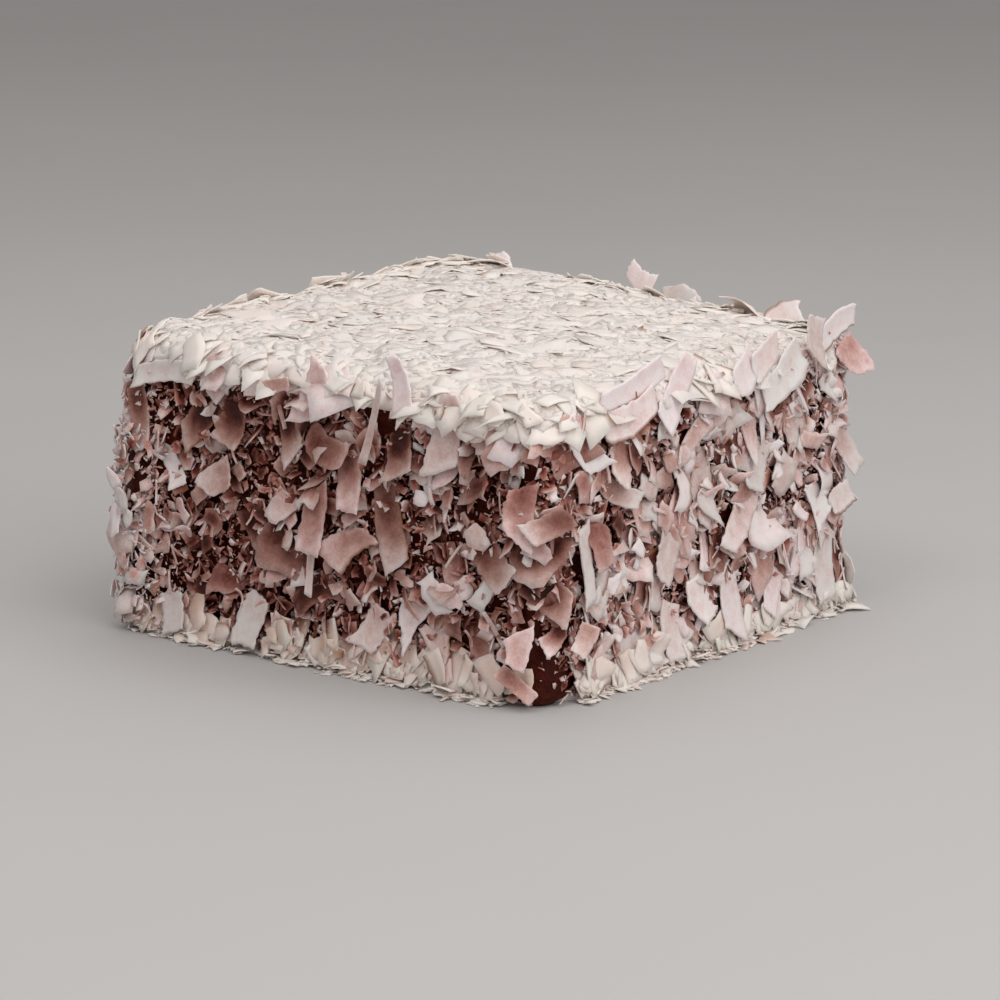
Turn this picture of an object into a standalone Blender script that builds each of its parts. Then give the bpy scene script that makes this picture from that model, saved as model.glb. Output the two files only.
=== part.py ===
"""Lamington cake: a square chocolate-iced sponge, coated all over in coconut chips.

Metres, +Z up. The origin is the middle of the flat base, -Y is the front face and +X the
right-hand face. The iced sponge is one solid. Each side and the top carries a coat of
coconut, one heap of chips up to its uneven outline, and the chips that stand out of the
coats are pieces of their own.
"""
import math
import random

import bmesh
import bpy
from mathutils import Matrix, Vector, noise
from mathutils.bvhtree import BVHTree

MM = 0.001
SEED = 8

# The iced sponge
CAKE_SIDE = 204 * MM
CAKE_HEIGHT = 110.5 * MM
CORNER_RADIUS = 8 * MM
TOP_EDGE_RADIUS = 5 * MM
FOOT_EDGE_RADIUS = 1.5 * MM
RISE_TO_LEFT = 5.0 * MM  # the top is a little higher towards -X
RISE_TO_BACK = 2.5 * MM  # and towards +Y
ICING_WAVE = 0.9 * MM
ICING_WAVE_LENGTH = 30 * MM

# The coats of coconut
SIDE_COAT = 6.2 * MM
COAT_WAVE = 1.2 * MM
COAT_WAVE_LENGTH = 45 * MM
FULL_CORNER = 3.2 * MM  # the coats are thickest at the corner between the front and the left side
FULL_CORNER_REACH = 34 * MM
TOP_COAT = 9.2 * MM
TOP_DOME = 3.2 * MM
TOP_LEAN = 1.4 * MM  # the top coat is a little thicker towards +Y
TOP_WAVE = 1.4 * MM
TOP_WAVE_LENGTH = 50 * MM
FLAKE_PITCH = 12.5 * MM
FLAKE_TILT = 0.42
FLAKE_STEP = 1.9 * MM
THINNEST_COAT = 1.4 * MM
TOP_RELIEF = 0.6  # the flakes on the top lie flatter than those on the sides
FOOT_FLARE = 2.6 * MM
FOOT_HEIGHT = 16 * MM
RIM_OVERHANG = 0.8 * MM
RIM_SHOULDER = 3.4 * MM
RIM_DROP = 2.6 * MM
RIM_WAVES = ((1.6 * MM, 14 * MM), (1.0 * MM, 40 * MM))
RIM_CORNER_CUT = 3.6 * MM  # the rim is drawn in at the cake's corners
RIM_CORNER_REACH = 26 * MM
RIM_UNDERCUT = 1.0 * MM
GAP = 0.3 * MM

# The bare icing at the foot of the corner between the front and the right-hand face
BARE_HALF_WIDTH = 15 * MM
BARE_HEIGHT = 33 * MM
BARE_BULGE = 2.2 * MM
BARE_FADE = 12 * MM  # the coats thin towards the bare icing
BARE_THINNING = 0.45
BULGE_HEIGHT = 0.85  # the swelling stays this far under the coats' lower edge
BULGE_SPREAD = 1.07  # from the sponge's outline to the coats' longer one, with a margin

# The chips that stand out
CHIP_THICKNESS = 0.9 * MM
CHIP_STEPS = 6
CHIP_LANES = 2
CHIP_SEAT = SIDE_COAT - 0.8 * MM
CHIP_CLEARANCE = 0.4 * MM
CHIP_ENDS = ((0.35, 0.75), (0.45, 0.85))  # widths of the lower and upper end, as shares
CHIP_END_CURVE = 2.2
CHIP_LEAN = 0.25
RAGGED_ENDS = 0.09
RAGGED_SIDES = 0.06
COAT_REACH = 2.5 * MM  # how far a coat swells to carry a chip

# How finely the coats are divided
FLAT_COLUMNS = 21
ARC_COLUMNS = 2
COAT_ROWS = 14
TOP_CELLS = 20
ICING_LEVELS = (10 * MM, 20 * MM, 30 * MM, 42 * MM, 60 * MM, 82 * MM)

# How the chips over a coat are felt for: rays to a cell, their length, and the steps up the rim
PROBES = 9
SIDE_PROBE = 4 * SIDE_COAT
TOP_PROBE = 3 * TOP_COAT
RIM_PROBE_HEIGHTS = [level * MM for level in range(10)]

HALF = CAKE_SIDE / 2
FACES = ("front", "right", "back", "left")
FACE_ANGLE = {"front": 0.0, "corner": 45.0, "right": 90.0, "back": 180.0, "left": 270.0}

# Chips by face: along the face from its middle (rightwards, seen from outside), height,
# length, width (mm), then spin from upright (clockwise), tilt of the lower end outwards,
# curl along, cup across and twist (degrees).
STANDING_CHIPS = {
    "front": (
        (-79, 107, 34, 10, 82, 12, 24, 50, 0),
        (-79, 71, 23, 10, -42, 14, 40, 40, 20),
        (40, 116, 23, 8, -14, 6, 14, 20, 12),
        (62, 100, 30, 14, 3, 6, 16, 20, 6),
        (38, 90, 18, 14, -8, 14, 20, 24, 0),
        (33, 61, 33, 12, -18, 9, 26, 16, 10),
        (45, 30, 26, 15, 34, 14, 24, 28, 0),
        (72, 21, 32, 12, -24, 12, 24, 20, -10),
        (82, 54, 24, 15, -48, 18, 30, 20, 0),
        (-52, 68, 19, 12, 60, 10, 20, 24, 0),
        (-43, 91, 18, 15, 14, 11, 20, 30, 0),
        (-17, 94, 25, 12, -22, 10, 18, 26, 8),
        (-3, 109, 24, 14, 8, 9, 18, 30, 0),
        (13, 80, 32, 12, -5, 12, 36, 20, 12),
        (-4, 59, 27, 13, 8, 10, 18, 20, 0),
        (-36, 14, 21, 14, 18, 15, 18, 26, 0),
        (-76, 11, 17, 12, -16, 15, 16, 24, 0),
    ),
    "corner": (
        (1, 71, 19, 11, 70, 16, 30, 24, 0),
        (2, 43, 20, 13, -58, 16, 24, 22, 0),
    ),
    "right": (
        (-84, 97, 25, 14, -34, 10, 20, 26, 0),
        (-83, 52, 30, 11, 3, 8, 12, 20, 0),
        (-62, 77, 25, 9, -58, 12, 70, 20, 0),
        (-56, 104, 31, 13, 78, 10, 20, 26, 0),
        (-24, 109, 33, 13, 48, 11, 34, 26, 0),
        (48, 103, 36, 16, 58, 12, 26, 34, 0),
        (19, 110, 19, 13, 58, 11, 18, 22, 0),
        (71, 117, 17, 15, 14, 6, 16, 30, 0),
        (101, 104, 18, 15, -38, 22, 8, 14, 0),
        (98, 69, 27, 11, -30, 14, 20, 22, 10),
        (-4, 73, 25, 19, 12, 10, 22, 24, 0),
        (18, 51, 31, 13, 46, 12, 24, 24, 0),
        (27, 84, 26, 8, -6, 10, 24, 20, 30),
        (77, 48, 18, 14, -20, 12, 20, 26, 0),
        (82, 19, 26, 12, 5, 9, 16, 22, 0),
        (14, 18, 23, 13, 2, 11, 16, 24, 0),
        (-26, 15, 23, 13, 6, 13, 18, 26, 0),
        (-51, 16, 26, 21, 8, 13, 18, 26, 0),
        (-32, 45, 19, 15, 40, 11, 18, 24, 0),
    ),
}
# The other two faces carry mirrored chips of these two, every so many of them.
MIRRORED_CHIPS = {"back": ("right", 3), "left": ("front", 2)}


def clear_scene():
    for thing in list(bpy.data.objects):
        bpy.data.objects.remove(thing, do_unlink=True)


def material(name, colour, roughness):
    """A Principled material of one colour."""
    made = bpy.data.materials.new(name)
    made.use_nodes = True
    shader = made.node_tree.nodes["Principled BSDF"]
    shader.inputs["Base Color"].default_value = (*colour, 1.0)
    shader.inputs["Roughness"].default_value = roughness
    return made


def add_object(name, points, faces, look):
    """One closed solid, its faces turned outwards."""
    mesh = bpy.data.meshes.new(name)
    mesh.from_pydata([tuple(point) for point in points], [], faces)
    shape = bmesh.new()
    shape.from_mesh(mesh)
    bmesh.ops.recalc_face_normals(shape, faces=shape.faces)
    shape.to_mesh(mesh)
    shape.free()
    mesh.materials.append(look)
    made = bpy.data.objects.new(name, mesh)
    bpy.context.scene.collection.objects.link(made)
    return made


def cake_top(x, y):
    """Height of the sponge's flat, slightly sloping top."""
    return CAKE_HEIGHT - RISE_TO_LEFT * x / CAKE_SIDE + RISE_TO_BACK * y / CAKE_SIDE


def face_matrix(face):
    """Face frame to part frame: x along the face, y inwards, z up, origin at mid-face."""
    turn = Matrix.Rotation(math.radians(FACE_ANGLE[face]), 4, "Z")
    reach = HALF
    if face == "corner":
        reach = (HALF - CORNER_RADIUS) * math.sqrt(2) + CORNER_RADIUS
    return turn @ Matrix.Translation((0, -reach, 0))


def side_columns():
    """Columns across one side, corner to corner: (base point, outward direction), side on -Y."""
    flat = HALF - CORNER_RADIUS
    columns = []
    for step in range(ARC_COLUMNS):
        angle = math.radians(-45 + 45 * step / ARC_COLUMNS)
        columns.append((Vector((-flat, -flat, 0)), Vector((math.sin(angle), -math.cos(angle), 0))))
    for step in range(FLAT_COLUMNS + 1):
        x = -flat + 2 * flat * step / FLAT_COLUMNS
        columns.append((Vector((x, -flat, 0)), Vector((0, -1, 0))))
    for step in range(1, ARC_COLUMNS + 1):
        angle = math.radians(45 * step / ARC_COLUMNS)
        columns.append((Vector((flat, -flat, 0)), Vector((math.sin(angle), -math.cos(angle), 0))))
    return columns


def column_point(column, depth):
    """The point at a depth outside the sponge's side, on one column."""
    centre, outward = column
    return centre + outward * (CORNER_RADIUS + depth)


def wobble(place, size, channel):
    """Smooth noise from -1 to 1 with features of the given size."""
    return noise.noise(Vector(place) / size + Vector((17.3 * channel, -9.1 * channel, 4.7)))


class FlakeRelief:
    """Uneven relief of tilted flat flakes, each the nearest to its own seed point."""

    def __init__(self, width, height, rng):
        self.flakes = []
        across = max(1, round(width / FLAKE_PITCH))
        up = max(1, round(height / FLAKE_PITCH))
        for column in range(across):
            for row in range(up):
                self.flakes.append(self.flake(column, row, across, up, width, height, rng))

    @staticmethod
    def flake(column, row, across, up, width, height, rng):
        x = width * ((column + rng.uniform(0.1, 0.9)) / across - 0.5)
        y = height * ((row + rng.uniform(0.1, 0.9)) / up - 0.5)
        slope = (rng.uniform(-FLAKE_TILT, FLAKE_TILT), rng.uniform(-FLAKE_TILT, FLAKE_TILT))
        return x, y, slope, rng.uniform(-FLAKE_STEP, FLAKE_STEP)

    def height(self, x, y):
        flake = min(self.flakes, key=lambda item: (item[0] - x) ** 2 + (item[1] - y) ** 2)
        centre_x, centre_y, slope, step = flake
        return step + slope[0] * (x - centre_x) + slope[1] * (y - centre_y)


# Chips


def chip_grid(length, width, curl, cup, twist, rng):
    """Rows of points on the middle surface of one curved chip, long axis along Z, outside +N.

    Each point is (across, along, outwards).
    """
    curl, cup, twist = (math.radians(angle) for angle in (curl, cup, twist))
    taper = [rng.uniform(*end) for end in CHIP_ENDS]
    lean = rng.uniform(-CHIP_LEAN, CHIP_LEAN)
    rows = []
    for step in range(CHIP_STEPS + 1):
        s = step / CHIP_STEPS - 0.5
        end = taper[0] if s < 0 else taper[1]
        half_width = 0.5 * width * (1 - (1 - end) * abs(2 * s) ** CHIP_END_CURVE)
        bend = curl * s
        radius = length / max(abs(curl), 1e-3)
        along = radius * math.sin(abs(bend)) * (1 if s >= 0 else -1)
        rise = radius * (1 - math.cos(bend))
        row = []
        for lane in range(CHIP_LANES + 1):
            t = 2 * lane / CHIP_LANES - 1
            arc = 0.5 * cup * t * half_width / (0.5 * width)
            hoop = width / max(cup, 1e-3)
            across = hoop * math.sin(arc)
            lift = hoop * (1 - math.cos(arc))
            turn = twist * s
            x = across * math.cos(turn) - lift * math.sin(turn) + lean * width * s
            n = across * math.sin(turn) + lift * math.cos(turn) + rise
            ragged = RAGGED_ENDS * length * rng.uniform(-1, 1) if step in (0, CHIP_STEPS) else 0
            edge = RAGGED_SIDES * width * rng.uniform(-1, 1) if abs(t) == 1 else 0
            row.append(Vector((x + edge, along + ragged, n)))
        rows.append(row)
    return rows


def grid_normals(rows):
    """Unit normals of a grid of points, towards +N."""
    last_row, last_lane = len(rows) - 1, len(rows[0]) - 1
    normals = []
    for i, row in enumerate(rows):
        line = []
        for j in range(len(row)):
            along = rows[min(i + 1, last_row)][j] - rows[max(i - 1, 0)][j]
            across = row[min(j + 1, last_lane)] - row[max(j - 1, 0)]
            line.append(across.cross(along).normalized())
        normals.append(line)
    return normals


def slab_faces(rows, lanes):
    """Faces of a closed slab: an upper and a lower grid of rows x lanes points, and a rim."""
    count = rows * lanes
    faces = []
    for i in range(rows - 1):
        for j in range(lanes - 1):
            a = i * lanes + j
            quad = (a, a + 1, a + lanes + 1, a + lanes)
            faces.append(quad)
            faces.append(tuple(count + k for k in reversed(quad)))
    rim = [j for j in range(lanes)]
    rim += [i * lanes + lanes - 1 for i in range(1, rows)]
    rim += [(rows - 1) * lanes + j for j in range(lanes - 2, -1, -1)]
    rim += [i * lanes for i in range(rows - 2, 0, -1)]
    for here, there in zip(rim, rim[1:] + rim[:1]):
        faces.append((there, here, count + here, count + there))
    return faces


def chip_points(spec, face, rng):
    """Points of one chip's slab in the part frame, seated on the coat's surface."""
    u, z, length, width, spin, tilt, curl, cup, twist = spec
    rows = chip_grid(length * MM, width * MM, curl, cup, twist, rng)
    normals = grid_normals(rows)
    half = CHIP_THICKNESS / 2
    flat = [(p + n * half) for row, line in zip(rows, normals) for p, n in zip(row, line)]
    flat += [(p - n * half) for row, line in zip(rows, normals) for p, n in zip(row, line)]
    # from (across, along, outwards) to the face frame (x along the face, y inwards, z up)
    to_face = Matrix(((1, 0, 0, 0), (0, 0, -1, 0), (0, 1, 0, 0), (0, 0, 0, 1)))
    pose = Matrix.Rotation(math.radians(-tilt), 4, "X")
    pose = pose @ Matrix.Rotation(math.radians(spin), 4, "Y") @ to_face
    points = [pose @ p for p in flat]
    seat = -CHIP_SEAT - max(p.y for p in points)
    place = face_matrix(face) @ Matrix.Translation((u * MM, seat, z * MM))
    return [place @ p for p in points]


def mirrored(spec):
    """The same chip on a face that is laid out the other way round."""
    u, z, length, width, spin, tilt, curl, cup, twist = spec
    return -u, z, length, width, -spin, tilt, curl, cup, -twist


def all_chips(rng):
    """Every standing chip as (node name, points)."""
    layout = dict(STANDING_CHIPS)
    for face, (pattern, step) in MIRRORED_CHIPS.items():
        layout[face] = [mirrored(spec) for spec in STANDING_CHIPS[pattern][::step]]
    chips = []
    for face, specs in layout.items():
        for number, spec in enumerate(specs, 1):
            chips.append((f"chip_{face}_{number:02d}", chip_points(spec, face, rng)))
    return chips


def build_chips(look, rng):
    """Make the standing chips and return one tree of all their surfaces."""
    faces = slab_faces(CHIP_STEPS + 1, CHIP_LANES + 1)
    tree_points, tree_faces = [], []
    for name, points in all_chips(rng):
        add_object(name, points, faces, look)
        start = len(tree_points)
        tree_points += points
        tree_faces += [tuple(start + index for index in face) for face in faces]
    return BVHTree.FromPolygons(tree_points, tree_faces)


# Coats


def chip_distance(tree, origin, direction, reach):
    """Distance to the nearest chip, or None."""
    hit = tree.ray_cast(origin, direction, reach)
    return hit[3]


def fit_under_chips(depths, probe, tree, reach):
    """Press a coat in under each chip, or swell it to carry one.

    depths is a grid of coat thicknesses and probe(i, j) gives the ray from its base.
    """
    rows, columns = len(depths), len(depths[0])
    limits = [[None] * columns for _ in range(rows)]
    for i in range((rows - 1) * PROBES + 1):
        for j in range((columns - 1) * PROBES + 1):
            origin, direction = probe(i / PROBES, j / PROBES)
            distance = chip_distance(tree, origin, direction, reach)
            if distance is None:
                continue
            for row in {i // PROBES, -(-i // PROBES)}:
                for column in {j // PROBES, -(-j // PROBES)}:
                    known = limits[row][column]
                    limits[row][column] = distance if known is None else min(known, distance)
    for i in range(rows):
        for j in range(columns):
            if limits[i][j] is not None:
                under = limits[i][j] - CHIP_CLEARANCE
                depths[i][j] = max(THINNEST_COAT, min(under, depths[i][j] + COAT_REACH))


def bare_edge(from_corner):
    """Height of the coat's lower edge over the bare icing, at a distance from the corner."""
    share = abs(from_corner) / BARE_HALF_WIDTH
    return BARE_HEIGHT * (1 - share**2) if share < 1 else 0.0


def corner_distances(columns, face):
    """Distance of each column from the bare corner, along the side; None on the other faces."""
    if face not in ("front", "right"):
        return [None] * len(columns)
    along = [0.0]
    for before, here in zip(columns, columns[1:]):
        step = (column_point(here, SIDE_COAT) - column_point(before, SIDE_COAT)).length
        along.append(along[-1] + step)
    if face == "right":
        return along
    return [along[-1] - distance for distance in along]


def side_heights(columns, face, turn):
    """Lower and upper end of each column of a side coat."""
    ends = []
    for column, distance in zip(columns, corner_distances(columns, face)):
        low = bare_edge(distance) if distance is not None else 0.0
        outer = turn @ column_point(column, SIDE_COAT)
        ends.append((low, cake_top(outer.x, outer.y)))
    return ends


def corner_fullness(spot):
    """How much thicker the coats are near the corner between the front and the left side."""
    away = (Vector((spot.x, spot.y, 0)) - Vector((-HALF, -HALF, 0))).length
    return FULL_CORNER * max(0.0, 1 - away / FULL_CORNER_REACH)


def side_depths(columns, ends, face, turn, rng):
    """Thickness of a side coat, row by row from the foot to the rim."""
    relief = FlakeRelief(CAKE_SIDE + 4 * FLAKE_PITCH, CAKE_HEIGHT + FLAKE_PITCH, rng)
    channel = FACES.index(face)
    depths = []
    for row in range(COAT_ROWS + 1):
        line = []
        for index, (column, (low, high)) in enumerate(zip(columns, ends)):
            z = low + (high - low) * row / COAT_ROWS
            along = column_point(column, 0).x + column[1].x * CORNER_RADIUS
            depth = SIDE_COAT + relief.height(along, z - CAKE_HEIGHT / 2)
            depth += COAT_WAVE * wobble((along, z, 0), COAT_WAVE_LENGTH, channel)
            depth += FOOT_FLARE * max(0.0, 1 - z / FOOT_HEIGHT)
            depth += corner_fullness(turn @ column_point(column, SIDE_COAT))
            if low > 0 or (face in ("front", "right") and near_bare(index, len(columns), face)):
                depth *= 1 - BARE_THINNING * (1 - min(1.0, (z - low) / BARE_FADE))
            line.append(max(THINNEST_COAT, depth))
        depths.append(line)
    return depths


def near_bare(index, count, face):
    """Whether a column is one of those beside the bare corner."""
    return index >= count - 3 if face == "front" else index <= 2


def stitch_side(columns, ends, depths):
    """Points and faces of a side coat: uneven outside, flat inside, closed all round."""
    rows, count = COAT_ROWS + 1, len(columns)
    outer, inner = [], []
    for row in range(rows):
        for index, (column, (low, high)) in enumerate(zip(columns, ends)):
            z = Vector((0, 0, low + (high - low) * row / COAT_ROWS))
            outer.append(column_point(column, GAP + depths[row][index]) + z)
            inner.append(column_point(column, GAP) + z)
    size = rows * count
    faces = []
    for row in range(rows - 1):
        for index in range(count - 1):
            a = row * count + index
            faces.append((a, a + 1, a + count + 1, a + count))
    used = set()
    first, last = ARC_COLUMNS, ARC_COLUMNS + FLAT_COLUMNS
    strips = [(i, i + 1) for i in range(first)]
    strips += [(first, last)]
    strips += [(i, i + 1) for i in range(last, count - 1)]
    for start, stop in strips:
        loop = [size + index for index in range(start, stop + 1)]
        loop += [size + row * count + stop for row in range(1, rows)]
        loop += [size + (rows - 1) * count + index for index in range(stop - 1, start - 1, -1)]
        loop += [size + row * count + start for row in range(rows - 2, 0, -1)]
        faces.append(tuple(reversed(loop)))
        used.update(loop)
    for index in range(count - 1):
        top = (rows - 1) * count + index
        faces.append((index + 1, index, size + index, size + index + 1))
        faces.append((top, top + 1, size + top + 1, size + top))
    for row in range(rows - 1):
        left, right = row * count, row * count + count - 1
        faces.append((left, left + count, size + left + count, size + left))
        faces.append((right + count, right, size + right, size + right + count))
    points = outer + inner
    keep = sorted(set(range(size)) | used)
    place = {old: new for new, old in enumerate(keep)}
    return [points[old] for old in keep], [tuple(place[i] for i in face) for face in faces]


def build_side_coat(face, tree, look, rng):
    """The heap of coconut on one side."""
    turn = Matrix.Rotation(math.radians(FACE_ANGLE[face]), 4, "Z")
    columns = side_columns()
    ends = side_heights(columns, face, turn)
    depths = side_depths(columns, ends, face, turn, rng)

    def probe(row, index):
        before = min(int(index), len(columns) - 2)
        share = index - before
        bases = [column_point(column, GAP) for column in columns[before : before + 2]]
        outward = columns[before][1].lerp(columns[before + 1][1], share)
        low = ends[before][0] * (1 - share) + ends[before + 1][0] * share
        high = ends[before][1] * (1 - share) + ends[before + 1][1] * share
        base = bases[0].lerp(bases[1], share)
        base.z = low + (high - low) * row / COAT_ROWS
        return turn @ base, turn @ outward

    fit_under_chips(depths, probe, tree, SIDE_PROBE)
    points, faces = stitch_side(columns, ends, depths)
    trimmed = [turn @ keep_off_corner(point) for point in points]
    add_object(f"coconut_{face}", trimmed, faces, look)


def keep_off_corner(point):
    """Draw a point back from the mitre at each corner, so that neighbouring coats stay apart."""
    room = -point.y - abs(point.x)
    if room >= GAP:
        return point
    x = math.copysign(max(0.0, -point.y - GAP), point.x)
    return Vector((x, point.y, point.z))


def rounded_square(a, b, reach):
    """Map the square -1..1 to a square with round corners, ring by ring."""
    ring = max(abs(a), abs(b))
    if ring == 0:
        return Vector((0, 0, 0)), Vector((0, 0, 0))
    radius = CORNER_RADIUS + reach
    flat = HALF - CORNER_RADIUS
    x, y = a / ring * (flat + radius), b / ring * (flat + radius)
    centre = Vector((max(-flat, min(flat, x)), max(-flat, min(flat, y)), 0))
    away = Vector((x, y, 0)) - centre
    outward = away.normalized()
    edge = centre + outward * radius
    return edge * ring, outward


def top_thickness(x, y, relief):
    """Thickness of the top coat, a low dome of flat flakes."""
    across, along = x / HALF, y / HALF
    dome = TOP_DOME * (1 - min(1.0, abs(across)) ** 3) * (1 - min(1.0, abs(along)) ** 3)
    lift = TOP_WAVE * wobble((x, y, 0), TOP_WAVE_LENGTH, 9) + TOP_LEAN * along
    return TOP_COAT + dome + TOP_RELIEF * relief.height(x, y) + lift


def build_top_coat(tree, look, rng):
    """The heap of coconut on the top, its rim hanging a little over the sides."""
    relief = FlakeRelief(CAKE_SIDE + 3 * FLAKE_PITCH, CAKE_SIDE + 3 * FLAKE_PITCH, rng)
    count = TOP_CELLS + 1

    def place(i, j, reach):
        return rounded_square(2 * i / TOP_CELLS - 1, 2 * j / TOP_CELLS - 1, reach)

    rim = [(i, 0) for i in range(count)]
    rim += [(TOP_CELLS, j) for j in range(1, count)]
    rim += [(i, TOP_CELLS) for i in range(TOP_CELLS - 1, -1, -1)]
    rim += [(0, j) for j in range(TOP_CELLS - 1, 0, -1)]
    reaches = [rim_reach(place(i, j, SIDE_COAT)[0]) for i, j in rim]
    reaches = rim_under_chips(rim, reaches, place, tree)

    points, index_of = [], {}
    thickness = [[0.0] * count for _ in range(count)]
    spots = {}
    for i in range(count):
        for j in range(count):
            spot = place(i, j, SIDE_COAT - RIM_SHOULDER)[0]
            if (i, j) in rim:
                reach = reaches[rim.index((i, j))]
                spot = place(i, j, reach - RIM_SHOULDER)[0]
            spots[i, j] = spot
            edge = max(abs(2 * i / TOP_CELLS - 1), abs(2 * j / TOP_CELLS - 1))
            depth = top_thickness(spot.x, spot.y, relief)
            thickness[i][j] = depth - (RIM_DROP if edge == 1 else 0.0)

    def probe(row, column):
        spot = place(row, column, SIDE_COAT - RIM_SHOULDER)[0]
        return Vector((spot.x, spot.y, cake_top(spot.x, spot.y))), Vector((0, 0, 1))

    fit_under_chips(thickness, probe, tree, TOP_PROBE)
    for i in range(count):
        for j in range(count):
            spot = spots[i, j]
            index_of[i, j] = len(points)
            z = cake_top(spot.x, spot.y) + GAP + thickness[i][j]
            points.append(Vector((spot.x, spot.y, z)))
    faces = []
    for i in range(TOP_CELLS):
        for j in range(TOP_CELLS):
            quad = (i, j), (i + 1, j), (i + 1, j + 1), (i, j + 1)
            faces.append(tuple(index_of[corner] for corner in quad))
    previous = [index_of[corner] for corner in rim]
    for level, draw_in in ((0.5, 0.0), (0.0, RIM_UNDERCUT)):
        ring = []
        for (i, j), reach in zip(rim, reaches):
            spot = place(i, j, reach - draw_in)[0]
            z = cake_top(spot.x, spot.y) + GAP + level * thickness[i][j]
            ring.append(len(points))
            points.append(Vector((spot.x, spot.y, z)))
        for k, here in enumerate(ring):
            after = (k + 1) % len(ring)
            faces.append((here, ring[after], previous[after], previous[k]))
        previous = ring
    faces.append(tuple(reversed(previous)))
    add_object("coconut_top", points, faces, look)


def rim_reach(spot):
    """How far the rim stands out from the sponge's side, unevenly."""
    uneven = sum(high * wobble(spot, long, 5 + k) for k, (high, long) in enumerate(RIM_WAVES))
    corner = Vector((math.copysign(HALF, spot.x), math.copysign(HALF, spot.y), 0))
    cut = RIM_CORNER_CUT * max(0.0, 1 - (spot - corner).length / RIM_CORNER_REACH)
    return SIDE_COAT + RIM_OVERHANG + uneven - cut


def rim_under_chips(rim, reaches, place, tree):
    """Draw the rim in behind the chips that hang over it."""
    fitted = list(reaches)
    count = len(rim)
    for k, (i, j) in enumerate(rim):
        nxt = rim[(k + 1) % count]
        for step in range(PROBES + 1):
            share = step / PROBES
            base, outward = place(i + (nxt[0] - i) * share, j + (nxt[1] - j) * share, 0.0)
            for rise in RIM_PROBE_HEIGHTS:
                origin = Vector((base.x, base.y, cake_top(base.x, base.y) + rise))
                distance = chip_distance(tree, origin, outward, SIDE_PROBE)
                if distance is None:
                    continue
                limit = max(THINNEST_COAT, distance - CHIP_CLEARANCE)
                for index in (k, (k + 1) % count):
                    fitted[index] = min(fitted[index], limit)
    return fitted


# The iced sponge


def build_cake(look):
    """The iced sponge: flat base and top, round edges, faint waves in the icing."""
    outline = []
    for face in FACES:
        turn = Matrix.Rotation(math.radians(FACE_ANGLE[face]), 4, "Z")
        columns = side_columns()
        near = ARC_COLUMNS + 2
        kept = columns[:near] + columns[near + 2 : -near : 3] + columns[-near:-1]
        for centre, outward in kept:
            outline.append((turn @ centre, turn @ outward))
    levels = [(0.0, FOOT_EDGE_RADIUS), (FOOT_EDGE_RADIUS, 0.0)]
    levels += [(height, 0.0) for height in ICING_LEVELS]
    points, faces = [], []
    rings = []
    for z, inset in levels:
        rings.append(cake_ring(outline, points, z, inset, False))
    for step in range(3):
        angle = math.radians(45 * step)
        drop = TOP_EDGE_RADIUS * (1 - math.sin(angle))
        inset = TOP_EDGE_RADIUS * (1 - math.cos(angle))
        rings.append(cake_ring(outline, points, -drop, inset, True))
    count = len(outline)
    for lower, upper in zip(rings, rings[1:]):
        for k in range(count):
            after = (k + 1) % count
            faces.append((lower[k], lower[after], upper[after], upper[k]))
    faces.append(tuple(reversed(rings[0])))
    faces.append(tuple(rings[-1]))
    add_object("iced_cake", points, faces, look)


def cake_ring(outline, points, z, inset, from_top):
    """One ring of the sponge's surface; heights count from the base or from the top."""
    ring = []
    for centre, outward in outline:
        flat = centre + outward * (CORNER_RADIUS - inset)
        height = z + (cake_top(flat.x, flat.y) if from_top else 0.0)
        wave = 0.0
        if not from_top and inset == 0:
            wave = -ICING_WAVE * (0.5 + 0.5 * wobble((flat.x, flat.y, z), ICING_WAVE_LENGTH, 2))
            wave += bare_bulge(flat, height)
        spot = flat + outward * wave
        ring.append(len(points))
        points.append(Vector((spot.x, spot.y, height)))
    return ring


def bare_bulge(spot, height):
    """How far the icing swells out where no coconut covers it."""
    corner = Vector((1, -1, 0)) * (HALF - CORNER_RADIUS * (1 - math.sqrt(0.5)))
    on_coat = BULGE_SPREAD * (CORNER_RADIUS + SIDE_COAT) / CORNER_RADIUS
    edge = BULGE_HEIGHT * bare_edge((Vector((spot.x, spot.y, 0)) - corner).length * on_coat)
    return BARE_BULGE * max(0.0, 1 - height / edge) if edge > 0 else 0.0


def main():
    clear_scene()
    rng = random.Random(SEED)
    icing = material("chocolate_icing", (0.045, 0.011, 0.006), 0.3)
    white = material("coconut_white", (0.86, 0.81, 0.75), 0.6)
    tinted = material("coconut_tinted", (0.55, 0.42, 0.37), 0.6)
    build_cake(icing)
    tree = build_chips(tinted, rng)
    for face in FACES:
        build_side_coat(face, tree, tinted, rng)
    build_top_coat(tree, white, rng)


main()
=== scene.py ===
"""Looks of the lamington cake: real coconut chips, one mesh for each kind, over dark icing.

The chips are curved, ragged, closed slabs made from arrays. Every kind of chip is one piece.
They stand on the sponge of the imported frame, at their true size.
"""
import math

import bpy
import numpy as np
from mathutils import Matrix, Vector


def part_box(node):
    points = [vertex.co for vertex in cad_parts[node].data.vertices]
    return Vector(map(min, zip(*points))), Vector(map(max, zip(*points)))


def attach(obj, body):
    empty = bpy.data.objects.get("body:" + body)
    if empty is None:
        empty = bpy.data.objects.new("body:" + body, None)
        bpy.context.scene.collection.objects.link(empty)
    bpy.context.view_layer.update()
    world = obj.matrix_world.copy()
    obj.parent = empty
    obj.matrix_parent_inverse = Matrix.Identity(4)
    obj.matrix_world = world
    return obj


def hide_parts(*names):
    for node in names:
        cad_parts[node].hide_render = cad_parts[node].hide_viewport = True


MM = 0.001
SEED = 20

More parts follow.
